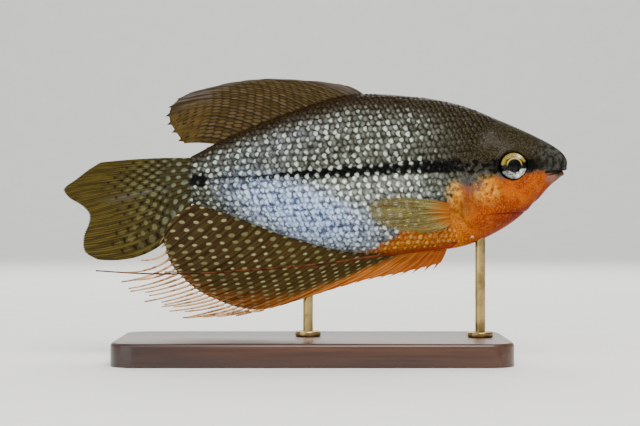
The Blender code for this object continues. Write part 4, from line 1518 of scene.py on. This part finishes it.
def stand():
    top = BASE_SIZE[2]
    bpy.ops.mesh.primitive_cube_add(size=1.0, location=(0, 0, top / 2))
    base = active("wooden_base")
    base.scale = BASE_SIZE
    bpy.ops.object.transform_apply(location=True, rotation=True, scale=True)
    round_edges(base, lambda low, high: abs(low - high) > top / 2, BASE_CORNER, 16)
    round_edges(base, lambda low, high: min(low, high) > top * 0.98, BASE_EDGE, 5)
    settle(base, wood_finish(), "wood", "stand_base", smooth_under=SMOOTH_UNDER)
    brass = brass_finish()
    for label, behind, side in ROD_PLACES:
        middle, _, belly, half, keel = section(behind)
        share = min(1.0, abs(side) / half)
        end = middle - math.sqrt(1 - share ** (2 / keel)) * (middle - belly) + ROD_SINK
        foot = place(behind, 0.0, side)
        collar = standing_rod("brass_rod_" + label, foot, COLLAR_RADIUS, COLLAR_HEIGHT, 64)
        apply(collar, "BEVEL", width=COLLAR_EDGE, segments=4, limit_method="ANGLE")
        standing_rod("rod", foot, ROD_RADIUS, DATUM_HEIGHT + end * MM - top, 48)
        collar.select_set(True)
        bpy.context.view_layer.objects.active = collar
        bpy.ops.object.join()
        settle(collar, brass, "brass", "stand_rod_" + label, smooth_under=SMOOTH_UNDER)


# The studio in metres: a floor that starts in front of the camera, runs flat, then curves up into a wall
FLOOR_FRONT = -1.0
FLOOR_WIDTH = 6.0
FLOOR_FLAT = 2.0
FLOOR_CURVE = 0.9
FLOOR_LENGTH = 4.0
FISH_MIDDLE = (0.0, 0.0, 0.04)
# Lamps: place, aim, size, power and colour
LAMPS = (
    ("key", (0.12, -0.45, 0.5), FISH_MIDDLE, 0.4, 5.4, (1.0, 0.98, 0.95)),
    ("fill", (-0.5, -0.4, 0.25), FISH_MIDDLE, 0.6, 1.9, (0.94, 0.97, 1.0)),
    ("back", (0.0, 0.5, 0.45), FISH_MIDDLE, 0.5, 3.0, (1.0, 1.0, 1.0)),
    ("backdrop", (0.0, 0.9, 1.3), (0.0, 1.5, 0.04), 1.2, 9.0, (1.0, 1.0, 1.0)),
)
SKY_COLOUR = (0.93, 0.95, 1.0, 1.0)
SKY_STRENGTH = 0.5
CAMERA_PLACE = (0.0016, -0.384, 0.0318)
LENS_LENGTH = 100.0
SENSOR_WIDTH = 36.0
NEAREST_SEEN = 0.01


def surroundings():
    """A pale floor that curves up into a backdrop, and soft lights."""
    bpy.ops.mesh.primitive_grid_add(x_subdivisions=2, y_subdivisions=60, size=1.0, location=(0, 0, 0))
    floor = active("pale_floor")
    radius = FLOOR_CURVE / (math.pi / 2)
    for vertex in floor.data.vertices:
        run = (vertex.co.y + 0.5) * FLOOR_LENGTH
        turn = min(max((run - FLOOR_FLAT) / FLOOR_CURVE, 0.0), 1.0) * math.pi / 2
        up = radius * (1 - math.cos(turn)) + max(0.0, run - FLOOR_FLAT - FLOOR_CURVE)
        back = FLOOR_FRONT + min(run, FLOOR_FLAT) + radius * math.sin(turn)
        vertex.co = (vertex.co.x * FLOOR_WIDTH, back, up)
    paint = Paint("pale_paper")
    where = paint.object_place()
    paint.set(
        Base_Color=paint.mix(paint.noise(where, 60.0), (206, 206, 202), (214, 213, 209)),
        Roughness=0.85,
        Specular_IOR_Level=0.2,
    )
    floor.data.materials.append(paint.material)
    bpy.ops.object.shade_smooth()
    world = bpy.data.worlds.new("studio")
    bpy.context.scene.world = world
    world.use_nodes = True
    sky = world.node_tree.nodes["Background"].inputs
    sky["Color"].default_value = SKY_COLOUR
    sky["Strength"].default_value = SKY_STRENGTH
    for name, spot, aim, size, power, colour in LAMPS:
        lamp = bpy.data.lights.new(name, "AREA")
        lamp.size, lamp.energy, lamp.color = size, power, colour
        holder = linked(name, lamp)
        holder.location = spot
        heading = Vector(aim) - Vector(spot)
        holder.rotation_euler = heading.to_track_quat("-Z", "Y").to_euler()


def camera():
    lens = bpy.data.cameras.new("photo_camera")
    lens.lens, lens.sensor_width, lens.clip_start = LENS_LENGTH, SENSOR_WIDTH, NEAREST_SEEN
    holder = linked("photo_camera", lens)
    holder.location = CAMERA_PLACE
    holder.rotation_euler = (math.radians(90.0), 0.0, 0.0)
    bpy.context.scene.camera = holder


def main():
    camera()
    surroundings()
    settle(
        skin_piece(), skin_finish(), "head_skin",
        "head", "lower_jaw", "gill_cover_left", "gill_cover_right", "trunk", "tail",
    )
    scales = scale_finish()
    settle(scale_coat("scales_right", False), scales, "body_scales")
    settle(scale_coat("scales_left", True), scales, "body_scales")
    eyes()
    dorsal_fin()
    anal_fin()
    caudal_fin()
    pectoral_fins()
    pelvic_threads()
    stand()


main()
